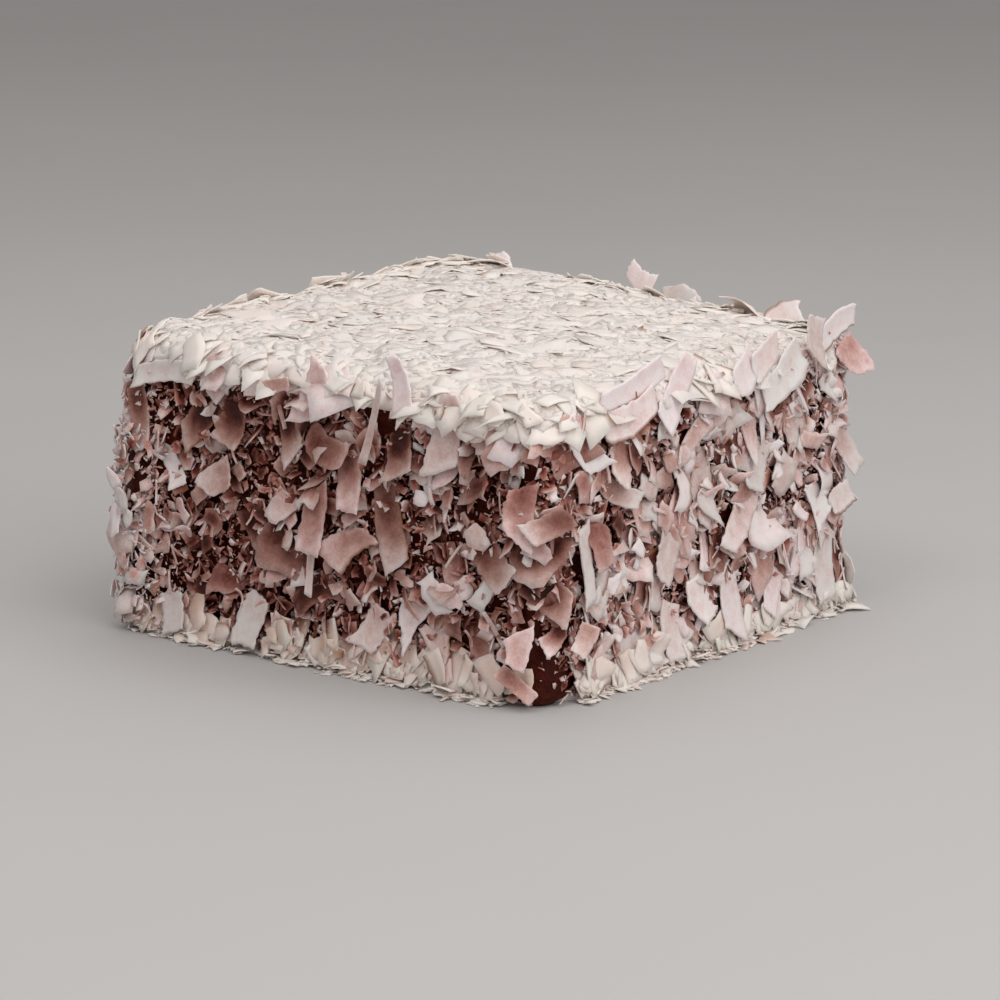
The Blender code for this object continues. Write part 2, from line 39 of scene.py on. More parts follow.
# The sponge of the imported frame: a square with round corners and a slightly sloping top
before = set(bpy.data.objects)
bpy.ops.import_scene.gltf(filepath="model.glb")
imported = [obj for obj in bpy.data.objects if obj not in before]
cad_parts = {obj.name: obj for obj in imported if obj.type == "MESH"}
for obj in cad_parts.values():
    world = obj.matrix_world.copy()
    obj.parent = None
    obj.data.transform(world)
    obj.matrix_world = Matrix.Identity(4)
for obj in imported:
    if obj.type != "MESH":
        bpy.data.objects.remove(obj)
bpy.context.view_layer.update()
cake_low, cake_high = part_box("iced_cake")
ICING_WAVES = 1.0 * MM
HALF = round((cake_high[0] - cake_low[0]) / 2 - ICING_WAVES, 3)
CORNER_RADIUS = 8 * MM
CAKE_HEIGHT = 110.5 * MM
RISE_TO_LEFT = 5.0 * MM
RISE_TO_BACK = 2.5 * MM

# Distances along its outline, which starts at the left end of the front's flat part
FLAT = HALF - CORNER_RADIUS
ARC = 0.5 * math.pi * CORNER_RADIUS
SIDE_LENGTH = 2 * FLAT + ARC
PERIMETER = 4 * SIDE_LENGTH
BARE_CORNER = 2 * FLAT + ARC / 2
FULL_CORNER = -ARC / 2

# The coat is fullest at one corner of the sides, and the foot of the near one is bare
FULLNESS = 9.5 * MM
FULL_REACH = 32 * MM
FULL_HEIGHT = 55 * MM
FADE_ABOVE, FADE_BELOW = 52 * MM, 100 * MM
BARE_HALF_WIDTH = 16 * MM
BARE_HEIGHT = 32 * MM
BARE_SWELL = 3.0 * MM

# The patch of fine bits under the rim, to the left of the near corner
FINE_LEFT = 20 * MM
FINE_HALF_WIDTH = 28 * MM
FINE_MIDDLE = 88 * MM
FINE_HALF_HEIGHT = 17 * MM

# The view of the photograph, and the lens in pixels of a 1000 pixel wide frame
CAMERA_AT = (0.8596, -1.1150, 0.3611)
CAMERA_TURN = 37.5
CAMERA_PITCH = 12.54
LENS_PIXELS = 3539
SENSOR = 36.0

# Chips
CHIP_THICKNESS = 0.62 * MM
TOP_THICKNESS = 0.36 * MM
THICKNESS_RANGE = (0.75, 1.3)
EDGE_THICKNESS = 0.72
MOST_BEND = 4 * MM
# Depth over which chips darken towards the sponge: partly stain, partly painted shade
SOAK_AND_SHADE_DEPTH = 6.0 * MM
PATCH_SIZE = 34 * MM
FLOOR_GAP = 0.1 * MM

# The heap on the top, over the sponge, and how it is rounded off to the sides
COAT = 5.2 * MM
HEAP = 8.8 * MM
HEAP_DOME = 2.6 * MM
LEAN_LEFT = 1.7 * MM
LEAN_BACK = 1.1 * MM
RIGHT_DIP = 4.2 * MM
RIM_ROUND = 10.0 * MM
RIM_CORNER = 22.0 * MM
HEAP_HALF = HALF + COAT
RIM_STRAIGHT = HEAP_HALF - RIM_CORNER
CORNER_REACH = 18.0 * MM


def patchy(x, y, size, channel):
    """Smooth uneven field from about -1 to 1, with patches of the given size."""
    rng = np.random.default_rng(1000 + channel)
    total = np.zeros(np.broadcast(x, y).shape)
    waves = 7
    for _ in range(waves):
        angle = rng.uniform(0, 2 * math.pi)
        reach = size * rng.uniform(0.6, 1.6)
        phase = rng.uniform(0, 2 * math.pi)
        total += np.sin(2 * math.pi * (x * math.cos(angle) + y * math.sin(angle)) / reach + phase)
    return total / math.sqrt(waves)


def uneven(x, y, *parts):
    """Sum of patchy fields, each with its height and patch size in millimetres and its channel."""
    return sum(height * MM * patchy(x, y, size * MM, channel) for height, size, channel in parts)


def cake_top(x, y):
    """Height of the sponge's slightly sloping top."""
    return CAKE_HEIGHT - RISE_TO_LEFT * x / (2 * HALF) + RISE_TO_BACK * y / (2 * HALF)


def round_square(share, half, radius):
    """Point and outward direction, at a share of the way round a square with round corners."""
    flat = half - radius
    length = 2 * flat + 0.5 * math.pi * radius
    s = np.mod(share, 1) * 4 * length
    side = np.floor(s / length)
    along = s - side * length
    turn = np.clip((along - 2 * flat) / radius, 0, math.pi / 2)
    x = -flat + np.minimum(along, 2 * flat) + radius * np.sin(turn)
    y = -flat - radius * np.cos(turn)
    quarter = side * math.pi / 2
    cos, sin = np.cos(quarter), np.sin(quarter)

    def on_its_side(x, y):
        return np.stack([x * cos - y * sin, x * sin + y * cos, np.zeros_like(x)], -1)

    return on_its_side(x, y), on_its_side(np.sin(turn), -np.cos(turn))


def round_side(s):
    """Point and outward direction of the sponge's side, at a distance s along its outline."""
    return round_square(s / PERIMETER, HALF, CORNER_RADIUS)


def along_from(s, corner):
    """Signed distance along the outline from a place on it."""
    return np.mod(s - corner + PERIMETER / 2, PERIMETER) - PERIMETER / 2


def past_straight(x, y):
    """How far points of the heap lie past the straight parts of its outline, at its corners."""
    return np.hypot(np.maximum(np.abs(x) - RIM_STRAIGHT, 0), np.maximum(np.abs(y) - RIM_STRAIGHT, 0))


# Meshes


def grid_quads(grid):
    """Quads between the neighbours of a grid of vertex numbers."""
    return np.stack([grid[:-1, :-1], grid[:-1, 1:], grid[1:, 1:], grid[1:, :-1]], -1).reshape(-1, 4)


def grid_rim(grid):
    """The vertex numbers on the rim of a grid, in order."""
    return np.concatenate([grid[0, :], grid[1:, -1], grid[-1, -2::-1], grid[-2:0:-1, 0]])


def make_object(name, points, quads, extra_faces=()):
    """A mesh object from arrays of points and quads, with a few faces of other sizes."""
    mesh = bpy.data.meshes.new(name)
    loops = list(np.asarray(quads, np.int32).ravel())
    starts = list(range(0, len(loops), 4))
    for face in extra_faces:
        starts.append(len(loops))
        loops.extend(face)
    mesh.vertices.add(len(points))
    mesh.vertices.foreach_set("co", np.asarray(points, np.float32).ravel())
    mesh.loops.add(len(loops))
    mesh.loops.foreach_set("vertex_index", np.asarray(loops, np.int32))
    mesh.polygons.add(len(starts))
    mesh.polygons.foreach_set("loop_start", np.asarray(starts, np.int32))
    mesh.update(calc_edges=True)
    made = bpy.data.objects.new(name, mesh)
    bpy.context.scene.collection.objects.link(made)
    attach(made, "root")
    return made


def slab_quads(rows, lanes):
    """Quads of one closed slab: its face, its back and its rim."""
    size = rows * lanes
    grid = np.arange(size).reshape(rows, lanes)
    upper = grid_quads(grid)
    lower = upper[:, ::-1] + size
    rim = grid_rim(grid)
    following = np.roll(rim, -1)
    edge = np.stack([following, rim, rim + size, following + size], -1)
    return upper, lower, edge


def slab_places(rows, lanes, upper, lower, edge):
    """Place in one unit cell of every corner of a slab's quads: rim below, face and back above."""
    margin, band_top, face_foot = 0.03, 0.11, 0.16
    face_width, face_height, band_width = 0.5 - 2 * margin, 1 - margin - face_foot, 1 - 2 * margin
    size = rows * lanes
    index = np.arange(size)
    across = (index % lanes) / (lanes - 1)
    along = (index // lanes) / (rows - 1)
    front = np.stack([margin + face_width * across, face_foot + face_height * along], -1)
    back = front + (0.5, 0.0)
    count = len(edge)
    step = np.arange(count)
    band = np.empty((count, 4, 2))
    band[:, (1, 2), 0] = (margin + band_width * step / count)[:, None]
    band[:, (0, 3), 0] = (margin + band_width * (step + 1) / count)[:, None]
    band[:, (0, 1), 1] = band_top
    band[:, (2, 3), 1] = margin
    return np.concatenate([front[upper], back[lower - size], band])


class Chips:
    """Arrays that describe many chips of one kind, one entry for each chip."""

    STRONG_SHARE, STRONG_BEND = 0.16, 2.4
    ROUNDED_SHARE = 0.25

    def __init__(self, length, width, rng, curl=18, cup=20, twist=8, domed=False):
        count = len(length)
        self.length = length
        self.width = width
        self.rng = rng
        strong = np.where(rng.uniform(0, 1, count) < self.STRONG_SHARE, self.STRONG_BEND, 1.0)
        self.curl = np.radians(strong * rng.normal(0, curl, count))
        self.cup = np.radians(strong * rng.normal(0, cup, count))
        if domed:
            self.curl, self.cup = -np.abs(self.curl), -np.abs(self.cup)
        self.twist = np.radians(rng.normal(0, twist, count))
        self.bow = rng.normal(0, 0.12, count)
        self.taper = rng.normal(0, 0.17, (2, count))
        self.bulge = rng.uniform(-0.15, 0.2, (2, count))
        self.cut = rng.normal(0, 0.3, (2, count))
        self.point = rng.uniform(-0.2, 0.3, (2, count))
        self.point_at = rng.uniform(-0.7, 0.7, (2, count))
        self.rounding = rng.uniform(0, 0.6, (2, count))
        self.rounding *= rng.uniform(0, 1, (2, count)) < self.ROUNDED_SHARE

    def __len__(self):
        return len(self.length)


def per_chip(values):
    """An array with one entry for each chip, ready to meet grids of rows and lanes."""
    return np.asarray(values)[:, None, None]


def away_from_zero(values):
    """Bends, in radians, that a radius can be had from."""
    least = 0.02
    return np.where(np.abs(values) < least, least, values)


def middle_surface(chips, rows, lanes, ragged):
    """Points of the chips' middle surfaces: (across, along, outward) for chip, row and lane.

    A chip is a broken piece of a shaving: bulging or tapering sides, ends that are cut askew
    or to a point, all a little ragged, bent along, across and in a twist.
    """
    rng, count = chips.rng, len(chips)
    s = np.linspace(-0.5, 0.5, rows)[None, :, None]
    t = np.linspace(-1, 1, lanes)[None, None, :]
    length, width = per_chip(chips.length), per_chip(chips.width)

    def by_side(place, pair):
        return np.where(place < 0, per_chip(pair[0]), per_chip(pair[1]))

    taper, bulge = by_side(t, chips.taper), by_side(t, chips.bulge)
    nicks = rng.normal(0, ragged, (count, rows, 2))
    nick = np.where(t < 0, nicks[:, :, :1], nicks[:, :, 1:])
    outline = 0.9 + 2 * s * taper + (1 - 4 * s**2) * bulge + nick
    half = 0.5 * width * outline * (1 - by_side(s, chips.rounding) * (2 * s) ** 4)
    hoop = width / away_from_zero(per_chip(chips.cup))
    arc = t * half / hoop
    across, lift = hoop * np.sin(arc), hoop * (1 - np.cos(arc))
    turn = per_chip(chips.twist) * s * 2
    x = across * np.cos(turn) - lift * np.sin(turn)
    n = across * np.sin(turn) + lift * np.cos(turn)
    x = x + per_chip(chips.bow) * width * (4 * s**2 - 0.35)
    tears = rng.normal(0, ragged, (2, count, 1, lanes))
    askew = [per_chip(cut) * t + tear for cut, tear in zip(chips.cut, tears)]
    tip = [per_chip(point) * np.abs(t - per_chip(at)) for point, at in zip(chips.point, chips.point_at)]
    low = -0.5 * length + 0.5 * width * (askew[0] + tip[0])
    high = 0.5 * length + 0.5 * width * (askew[1] - tip[1])
    along = low + (high - low) * (s + 0.5)
    bend = length / away_from_zero(per_chip(chips.curl))
    y = bend * np.sin(along / bend)
    n = n + bend * (1 - np.cos(along / bend))
    return np.stack(np.broadcast_arrays(x, y, n), -1)


def thicken(middle, thickness):
    """Upper and lower surface of each chip, thinner at its edges."""
    along = np.gradient(middle, axis=1)
    across = np.gradient(middle, axis=2)
    normal = np.cross(across, along)
    normal /= np.maximum(np.linalg.norm(normal, axis=-1, keepdims=True), 1e-12)
    depth = np.full(middle.shape[1:3], 0.5 * EDGE_THICKNESS)
    depth[1:-1, 1:-1] = 0.5
    offset = normal * (thickness[:, None, None] * depth)[..., None]
    return middle + offset, middle - offset


def pose_matrix(spin, tilt, roll):
    """Rotations from a chip's own axes to (sideways, upwards, outwards) of its place, in degrees.

    Spin turns it clockwise, tilt brings its lower end outwards, roll its right edge.
    """
    spin, tilt, roll = (np.radians(angle) for angle in (spin, tilt, roll))
    zero, one = np.zeros_like(spin), np.ones_like(spin)

    def matrix(rows):
        return np.stack([np.stack(row, -1) for row in rows], -2)

    cos, sin = np.cos(spin), np.sin(spin)
    turned = matrix([(cos, sin, zero), (-sin, cos, zero), (zero, zero, one)])
    cos, sin = np.cos(tilt), np.sin(tilt)
    tilted = matrix([(one, zero, zero), (zero, cos, sin), (zero, -sin, cos)])
    cos, sin = np.cos(roll), np.sin(roll)
    rolled = matrix([(cos, zero, -sin), (zero, one, zero), (sin, zero, cos)])
    return rolled @ tilted @ turned


def drape(points, centre, up):
    """Bend chips, level with the heap at their centres, to the heap under the whole of them."""
    away = points[:, :, :2] - centre[:, None, :2]
    level = centre[:, None, 2] - (away * up[:, None, :2]).sum(axis=-1) / up[:, None, 2]
    bend = heap_surface(points[:, :, 0], points[:, :, 1]) - level
    points[:, :, 2] += np.clip(bend, -MOST_BEND, MOST_BEND)


def chip_mesh(name, look, chips, place, pose, reach, colour, rows, lanes, ragged=0.06, sunk=2.0 * MM,
              ground=0.0, thickness=CHIP_THICKNESS, settled=False):
    """One piece of many chips.

    place is (point, sideways, upwards, outwards) for each chip. reach is how far its outermost
    point lies outside the place, unless its innermost would then be sunk too deep. colour is
    (stain, tone, rust) for each chip, and ground where the darkening with depth starts, which is
    partly stain and partly painted shade. A settled chip has its edge, on average, where reach
    says, and is draped over the heap.
    """
    count = len(chips)
    middle = middle_surface(chips, rows, lanes, ragged)
    thickness = np.minimum(thickness, 0.08 * chips.length + 0.12 * MM)
    thickness = thickness * chips.rng.uniform(*THICKNESS_RANGE, count)
    upper, lower = thicken(middle, thickness)
    both = np.stack([upper, lower], 1).reshape(count, -1, 3)
    local = np.einsum("nij,nkj->nki", pose, both)
    depth = local[:, :, 2]
    if settled:
        edge = np.ones((rows, lanes), bool)
        edge[1:-1, 1:-1] = False
        shift = reach - depth[:, np.tile(edge.ravel(), 2)].mean(axis=1)
    else:
        shift = np.maximum(reach - depth.max(axis=1), -sunk - depth.min(axis=1))
    local[:, :, 2] += shift[:, None]
    point, sideways, upwards, outwards = place
    points = point[:, None, :] + local[:, :, :1] * sideways[:, None, :]
    points = points + local[:, :, 1:2] * upwards[:, None, :]
    points = points + local[:, :, 2:] * outwards[:, None, :]
    if settled:
        drape(points, point, outwards)
    lowest = points[:, :, 2].min(axis=1)
    points[:, :, 2] += np.maximum(0, FLOOR_GAP - lowest)[:, None]
    parts = slab_quads(rows, lanes)
    quads = np.concatenate(parts)
    size = 2 * rows * lanes
    all_quads = (quads[None] + size * np.arange(count)[:, None, None]).reshape(-1, 4)
    made = make_object(name, points.reshape(-1, 3), all_quads)
    smooth = np.arange(len(quads)) < len(quads) - len(parts[-1])
    made.data.polygons.foreach_set("use_smooth", np.tile(smooth, count))
    fading = chips.rng.normal(0.5, 0.35, count)
    add_colours(made.data, local[:, :, 2] - np.reshape(ground, (-1, 1)), colour, fading, rows, lanes)
    add_map(made.data, slab_places(rows, lanes, *parts), count)
    finish_piece(made, look)
    return made


def add_colours(mesh, depth, colour, fading, rows, lanes):
    """Stain, tone and rust of every point, as attributes that the material reads.

    The stain is more in the depth, partly as painted shade of the hollows under the outer chips,
    and less at the edges, partly as a painted highlight on them, and fades from one end to the other.
    """
    stain, tone, rust = colour
    # Points nearer the sponge get more stain: partly chocolate soaked in, partly painted shade of the
    # hollows under the outer chips.
    soaked = np.clip(1 - depth / SOAK_AND_SHADE_DEPTH, 0, 1)
    lane = np.tile(np.arange(rows * lanes) % lanes, 2)
    aside = np.abs(2 * lane / (lanes - 1) - 1)
    upper = np.tile(np.arange(rows * lanes) // lanes, 2) / (rows - 1) - 0.5
    # Less stain at a chip's edges: partly less stain on the thin edges, partly a painted highlight where
    # they catch the light.
    middle, edge_stain_loss_and_highlight = 1.04, 0.36
    edge = (middle - edge_stain_loss_and_highlight * aside**3) * (middle - edge_stain_loss_and_highlight * np.abs(2 * upper) ** 3)
    strength = 0.74 + 0.80 * soaked + fading[:, None] * upper[None, :]
    stain_shade_and_highlight = stain[:, None] * strength * edge[None, :]
    values = {
        "stain": np.clip(stain_shade_and_highlight, 0, 1),
        "tone": np.repeat(tone[:, None], depth.shape[1], 1),
        "rust": rust[:, None] * (lane == lanes - 1)[None, :],
    }
    for name, value in values.items():
        add_attribute(mesh, name, value)


def add_attribute(mesh, name, values):
    layer = mesh.attributes.new(name, "FLOAT", "POINT")
    layer.data.foreach_set("value", values.astype(np.float32).ravel())


def add_map(mesh, places, count):
    """Give every chip a cell of its own in a map for its colours."""
    side = math.ceil(math.sqrt(count))
    cell = np.arange(count)
    corner = np.stack([cell % side, cell // side], -1)
    laid_out = (places.reshape(1, -1, 2) + corner[:, None, :]) / side
    layer = mesh.uv_layers.new(name="OFBake")
    layer.uv.foreach_set("vector", laid_out.astype(np.float32).ravel())


# Places and random values


def upright_axes(outward):
    """Sideways and upwards directions of places on an upright face."""
    upwards = np.zeros_like(outward)
    upwards[:, 2] = 1
    return np.cross(upwards, outward), upwards


def level_axes(angle):
    """Directions at an angle on the level, to the left of it, and upwards."""
    cos, sin, zero = np.cos(angle), np.sin(angle), np.zeros_like(angle)
    return [np.stack(axis, -1) for axis in ((cos, sin, zero), (-sin, cos, zero), (zero, zero, zero + 1))]


def side_place(s, z):
    """Places on the cake's sides: point, sideways, upwards and outwards."""
    point, outward = round_side(s)
    point[:, 2] = z
    return point, *upright_axes(outward), outward


def top_place(x, y, heading, span):
    """Places on the heap, turned by heading and level with it over a span."""
    height = heap_surface(x, y)
    slope_x = (heap_surface(x + span, y) - heap_surface(x - span, y)) / (2 * span)
    slope_y = (heap_surface(x, y + span) - heap_surface(x, y - span)) / (2 * span)
    up = np.stack([-slope_x, -slope_y, np.ones_like(x)], -1)
    up /= np.linalg.norm(up, axis=-1, keepdims=True)
    cos, sin = np.cos(heading), np.sin(heading)
    sideways = np.stack([cos, sin, slope_x * cos + slope_y * sin], -1)
    sideways /= np.linalg.norm(sideways, axis=-1, keepdims=True)
    return np.stack([x, y, height], -1), sideways, np.cross(up, sideways), up


def jittered(count, width, height, rng):
    """Evenly scattered points over a rectangle, with its lower left corner at the origin."""
    across = max(1, round(math.sqrt(count * width / height)))
    up = max(1, round(count / across))
    i, j = np.meshgrid(np.arange(across), np.arange(up))
    x = (i.ravel() + rng.uniform(0, 1, i.size)) / across * width
    y = (j.ravel() + rng.uniform(0, 1, j.size)) / up * height
    return x, y


def even_shares(count, rng):
    """Evenly scattered shares of the way round, one for each chip."""
    return (np.arange(count) + rng.uniform(0, 1, count)) / count


def own_random(name):
    """Random numbers of a piece's own, the same each run."""
    return np.random.default_rng([SEED, *name.encode()])


def chip_lengths(rng, count, middle, spread, low=0.5, high=1.8):
    """Uneven lengths about a middle one in millimetres, between two shares of it."""
    return np.clip(middle * np.exp(rng.normal(0, spread, count)), low * middle, high * middle) * MM


# Materials


class Nodes:
    """Short calls for building a node tree."""

    def __init__(self, name):
        self.material = bpy.data.materials.new(name)
        self.material.use_nodes = True
        self.tree = self.material.node_tree
        self.shader = self.tree.nodes["Principled BSDF"]

    def add(self, kind, **settings):
        node = self.tree.nodes.new(kind)
        for key, value in settings.items():
            setattr(node, key, value)
        return node

    def link(self, source, target):
        self.tree.links.new(source, target)

    def fill(self, socket, value):
        """Link an output to a socket, or set a number or colour on it."""
        if isinstance(value, bpy.types.NodeSocket):
            self.link(value, socket)
        else:
            socket.default_value = value

    def shade(self, **values):
        """Fill the shader's own sockets; an underline stands for a space."""
        for name, value in values.items():
            self.fill(self.shader.inputs[name.replace("_", " ")], value)

    def attribute(self, name):
        return self.add("ShaderNodeAttribute", attribute_name=name).outputs["Fac"]

    def noise(self, scale, detail=3.0, roughness=0.55):
        place = self.add("ShaderNodeTexCoord").outputs["Object"]
        node = self.add("ShaderNodeTexNoise")
        node.inputs["Scale"].default_value = scale
        node.inputs["Detail"].default_value = detail
        node.inputs["Roughness"].default_value = roughness
        self.link(place, node.inputs["Vector"])
        return node.outputs["Fac"]

    def math(self, operation, a, b, clamp=False):
        node = self.add("ShaderNodeMath", operation=operation, use_clamp=clamp)
        for socket, value in zip(node.inputs, (a, b)):
            self.fill(socket, value)
        return node.outputs[0]

    def ramp(self, factor, stops):
        node = self.add("ShaderNodeValToRGB")
        bar = node.color_ramp
        while len(bar.elements) < len(stops):
            bar.elements.new(0.5)
        for element, (place, colour) in zip(bar.elements, stops):
            element.position = place
            element.color = (*colour, 1)
        self.link(factor, node.inputs["Fac"])
        return node.outputs["Color"]

    def mix(self, factor, a, b, blend="MIX"):
        node = self.add("ShaderNodeMix", data_type="RGBA", blend_type=blend)
        sockets = [s for s in node.inputs if s.type == "RGBA"]
        for socket, value in zip([node.inputs[0]] + sockets, (factor, a, b)):
            self.fill(socket, value)
        return [s for s in node.outputs if s.type == "RGBA"][0]

    def bump(self, height, strength, distance):
        node = self.add("ShaderNodeBump")
        node.inputs["Strength"].default_value = strength
        node.inputs["Distance"].default_value = distance
        self.link(height, node.inputs["Height"])
        self.shade(Normal=node.outputs["Normal"])


def greys(*stops):
    """Stops of a ramp that only says light or dark."""
    return [(place, (value,) * 3) for place, value in stops]


# Colours by stain, from dry to soaked through: of white and stained chips, and of small pieces
WHITE_STAINS = (
    (0.00, (0.885, 0.85, 0.81)),
    (0.10, (0.865, 0.79, 0.745)),
    (0.22, (0.79, 0.65, 0.585)),
    (0.40, (0.58, 0.39, 0.31)),
    (0.62, (0.34, 0.165, 0.12)),
    (1.00, (0.048, 0.008, 0.004)),
)
TINTED_STAINS = (
    (0.00, (0.885, 0.845, 0.835)),
    (0.10, (0.865, 0.757, 0.737)),
    (0.22, (0.78, 0.597, 0.567)),
    (0.40, (0.57, 0.345, 0.30)),
    (0.62, (0.34, 0.152, 0.122)),
    (0.84, (0.14, 0.036, 0.024)),
    (1.00, (0.048, 0.008, 0.004)),
)
SOAKED_STAINS = (
    (0.00, (0.89, 0.84, 0.83)),
    (0.10, (0.88, 0.75, 0.73)),
    (0.22, (0.80, 0.585, 0.545)),
    (0.40, (0.61, 0.315, 0.265)),
    (0.62, (0.37, 0.138, 0.104)),
    (0.84, (0.17, 0.034, 0.021)),
    (1.00, (0.055, 0.008, 0.004)),
)
# What the colour is multiplied by, from a dull chip to a bright one
WARM_TONES = (
    (0.00, (0.80, 0.80, 0.76)),
    (0.35, (0.91, 0.92, 0.88)),
    (0.70, (1.0, 0.96, 0.96)),
    (1.00, (1.0, 0.978, 0.95)),
)
COOL_TONES = (
    (0.00, (0.80, 0.80, 0.79)),
    (0.35, (0.91, 0.915, 0.905)),
    (0.70, (1.0, 0.955, 0.98)),
    (1.00, (1.0, 0.985, 0.975)),
)
BROWN_SKIN = (0.30, 0.12, 0.05, 1)


def coconut_material(name, stains, tones, mottling, glow, glow_depth):
    """Coconut: white to mauve-brown with the stain of the icing, mottled, partly see-through."""
    nodes = Nodes(name)
    blotches = nodes.math("SUBTRACT", nodes.noise(210.0, 4.0), 0.5)
    specks = nodes.math("SUBTRACT", nodes.noise(1100.0, 2.0), 0.5)
    mottle = nodes.math("ADD", blotches, nodes.math("MULTIPLY", specks, 0.45))
    stain = nodes.math("MULTIPLY_ADD", mottle, mottling)
    nodes.link(nodes.attribute("stain"), stain.node.inputs[2])
    colour = nodes.ramp(stain, stains)
    tone = nodes.ramp(nodes.attribute("tone"), tones)
    colour = nodes.mix(1.0, colour, tone, "MULTIPLY")
    rust = nodes.math("MULTIPLY", nodes.attribute("rust"), 0.85, True)
    nodes.shade(
        Base_Color=nodes.mix(rust, colour, BROWN_SKIN),
        Roughness=nodes.ramp(mottle, greys((0.0, 0.48), (0.3, 0.62))),
        Subsurface_Weight=glow, Subsurface_Radius=(1.0, 0.97, 0.94), Subsurface_Scale=glow_depth,
        Specular_IOR_Level=0.2)
    nodes.bump(nodes.noise(900.0, 3.0), 0.45, 0.25 * MM)
    return nodes.material


def icing_material():
    """Set chocolate icing: very dark, glossy, gently lumpy."""
    nodes = Nodes("chocolate_icing")
    browns = ((0.3, (0.032, 0.004, 0.002)), (0.7, (0.10, 0.014, 0.006)))
    nodes.shade(
        Base_Color=nodes.ramp(nodes.noise(90.0), browns),
        Roughness=nodes.ramp(nodes.noise(200.0), greys((0.35, 0.28), (0.7, 0.5))),
        Specular_IOR_Level=0.09)
    nodes.bump(nodes.noise(300.0, 5.0), 1.0, 3.0 * MM)
    return nodes.material


def floor_material():
    nodes = Nodes("pale_floor")
    colour = nodes.ramp(nodes.noise(1.5), ((0.3, (0.50, 0.49, 0.485)), (0.7, (0.53, 0.52, 0.515))))
    nodes.shade(Base_Color=colour, Roughness=0.7)
    return nodes.material


# Icing, and the fine coconut under the chips


def make_icing(look):
    """The iced sponge, with waves, and with swells at its bare foot and under the full coat."""
    columns, levels, rounding, sunk = 330, 46, 4 * MM, 0.6 * MM
    s = np.arange(columns) / columns * PERIMETER
    point, outward = round_side(s)
    top = cake_top(point[:, 0], point[:, 1])
    near_bare = np.clip(1 - (along_from(s, BARE_CORNER) / BARE_HALF_WIDTH) ** 2, 0, 1)
    rings = []
    for level in range(levels + 1):
        z = level / levels * top
        edge = np.minimum(z, top - z)
        round_off = rounding * np.clip(1 - edge / rounding, 0, 1) ** 2
        wave = uneven(s, z, (0.5, 26, 1), (0.35, 9, 2)) - sunk
        swell = BARE_SWELL * near_bare * np.clip(1 - (z / BARE_HEIGHT) ** 2, 0, 1)
        swell += 0.85 * FULLNESS * fuller(s, z)
        ring = point + outward * (wave + swell - round_off)[:, None]
        ring[:, 2] = z
        rings.append(ring)
    index = np.arange(len(rings) * columns).reshape(-1, columns)
    quads = grid_quads(np.column_stack([index, index[:, 0]]))
    caps = [list(index[0][::-1]), list(index[-1])]
    made = make_object("icing", np.concatenate(rings), quads, caps)
    made.data.shade_smooth()
    made.data.materials.append(look)
    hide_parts("iced_cake")


def heap_level(x, y):
    """Height of the heap over the sponge's top: more to the left and back, less to the right."""
    lean = LEAN_BACK * y / HALF - LEAN_LEFT * x / HALF
    dip = RIGHT_DIP * np.clip((x + y) / HALF - 0.6, 0, 1.4) / 1.4
    return HEAP + lean - dip + uneven(x, y, (0.8, 26, 3), (0.35, 13, 4))


def heap_height(x, y):
    """Height of the heap with its dome, rounded off to the rim."""
    inset = RIM_CORNER - past_straight(x, y)
    round_off = 1 - np.sqrt(np.clip(1 - np.clip(1 - inset / RIM_ROUND, 0, 1) ** 2, 0, 1))
    dome = (1 - np.abs(x / HALF).clip(0, 1) ** 3) * (1 - np.abs(y / HALF).clip(0, 1) ** 3)
    return heap_level(x, y) + HEAP_DOME * dome - RIM_ROUND * round_off


def heap_surface(x, y):
    return cake_top(x, y) + heap_height(x, y)


def make_bed(look):
    """The bed of fine coconut that fills the heap on the top, under its chips."""
    cells, inset, sunk, tiny = 110, 1.0 * MM, 3.0 * MM, 1e-12
    steps = np.linspace(-1, 1, cells + 1)
    flat = np.stack(np.meshgrid(steps, steps), -1)
    ring = np.maximum(np.abs(flat).max(axis=-1, keepdims=True), tiny)
    reach = HEAP_HALF - inset
    square = flat / ring * reach
    centre = np.clip(square, -RIM_STRAIGHT, RIM_STRAIGHT)
    aside = square - centre
    away = np.maximum(np.linalg.norm(aside, axis=-1, keepdims=True), tiny)
    x, y = np.moveaxis((centre + aside / away * (reach - RIM_STRAIGHT)) * ring, -1, 0)
    top = np.stack([x, y, heap_surface(x, y)], -1).reshape(-1, 3)
    index = np.arange(len(top)).reshape(x.shape)
    rim = grid_rim(index)
    foot = top[rim].copy()
    foot[:, 2] = cake_top(foot[:, 0], foot[:, 1]) - sunk
    low = len(top) + np.arange(len(rim))
    wall = np.stack([np.roll(rim, -1), rim, low, np.roll(low, -1)], -1)
    quads = np.concatenate([grid_quads(index), wall])
    made = make_object("top_bed", np.concatenate([top, foot]), quads, [list(low[::-1])])
    finish_plain(made, look, 0.05, 0.85)
    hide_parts("coconut_top")


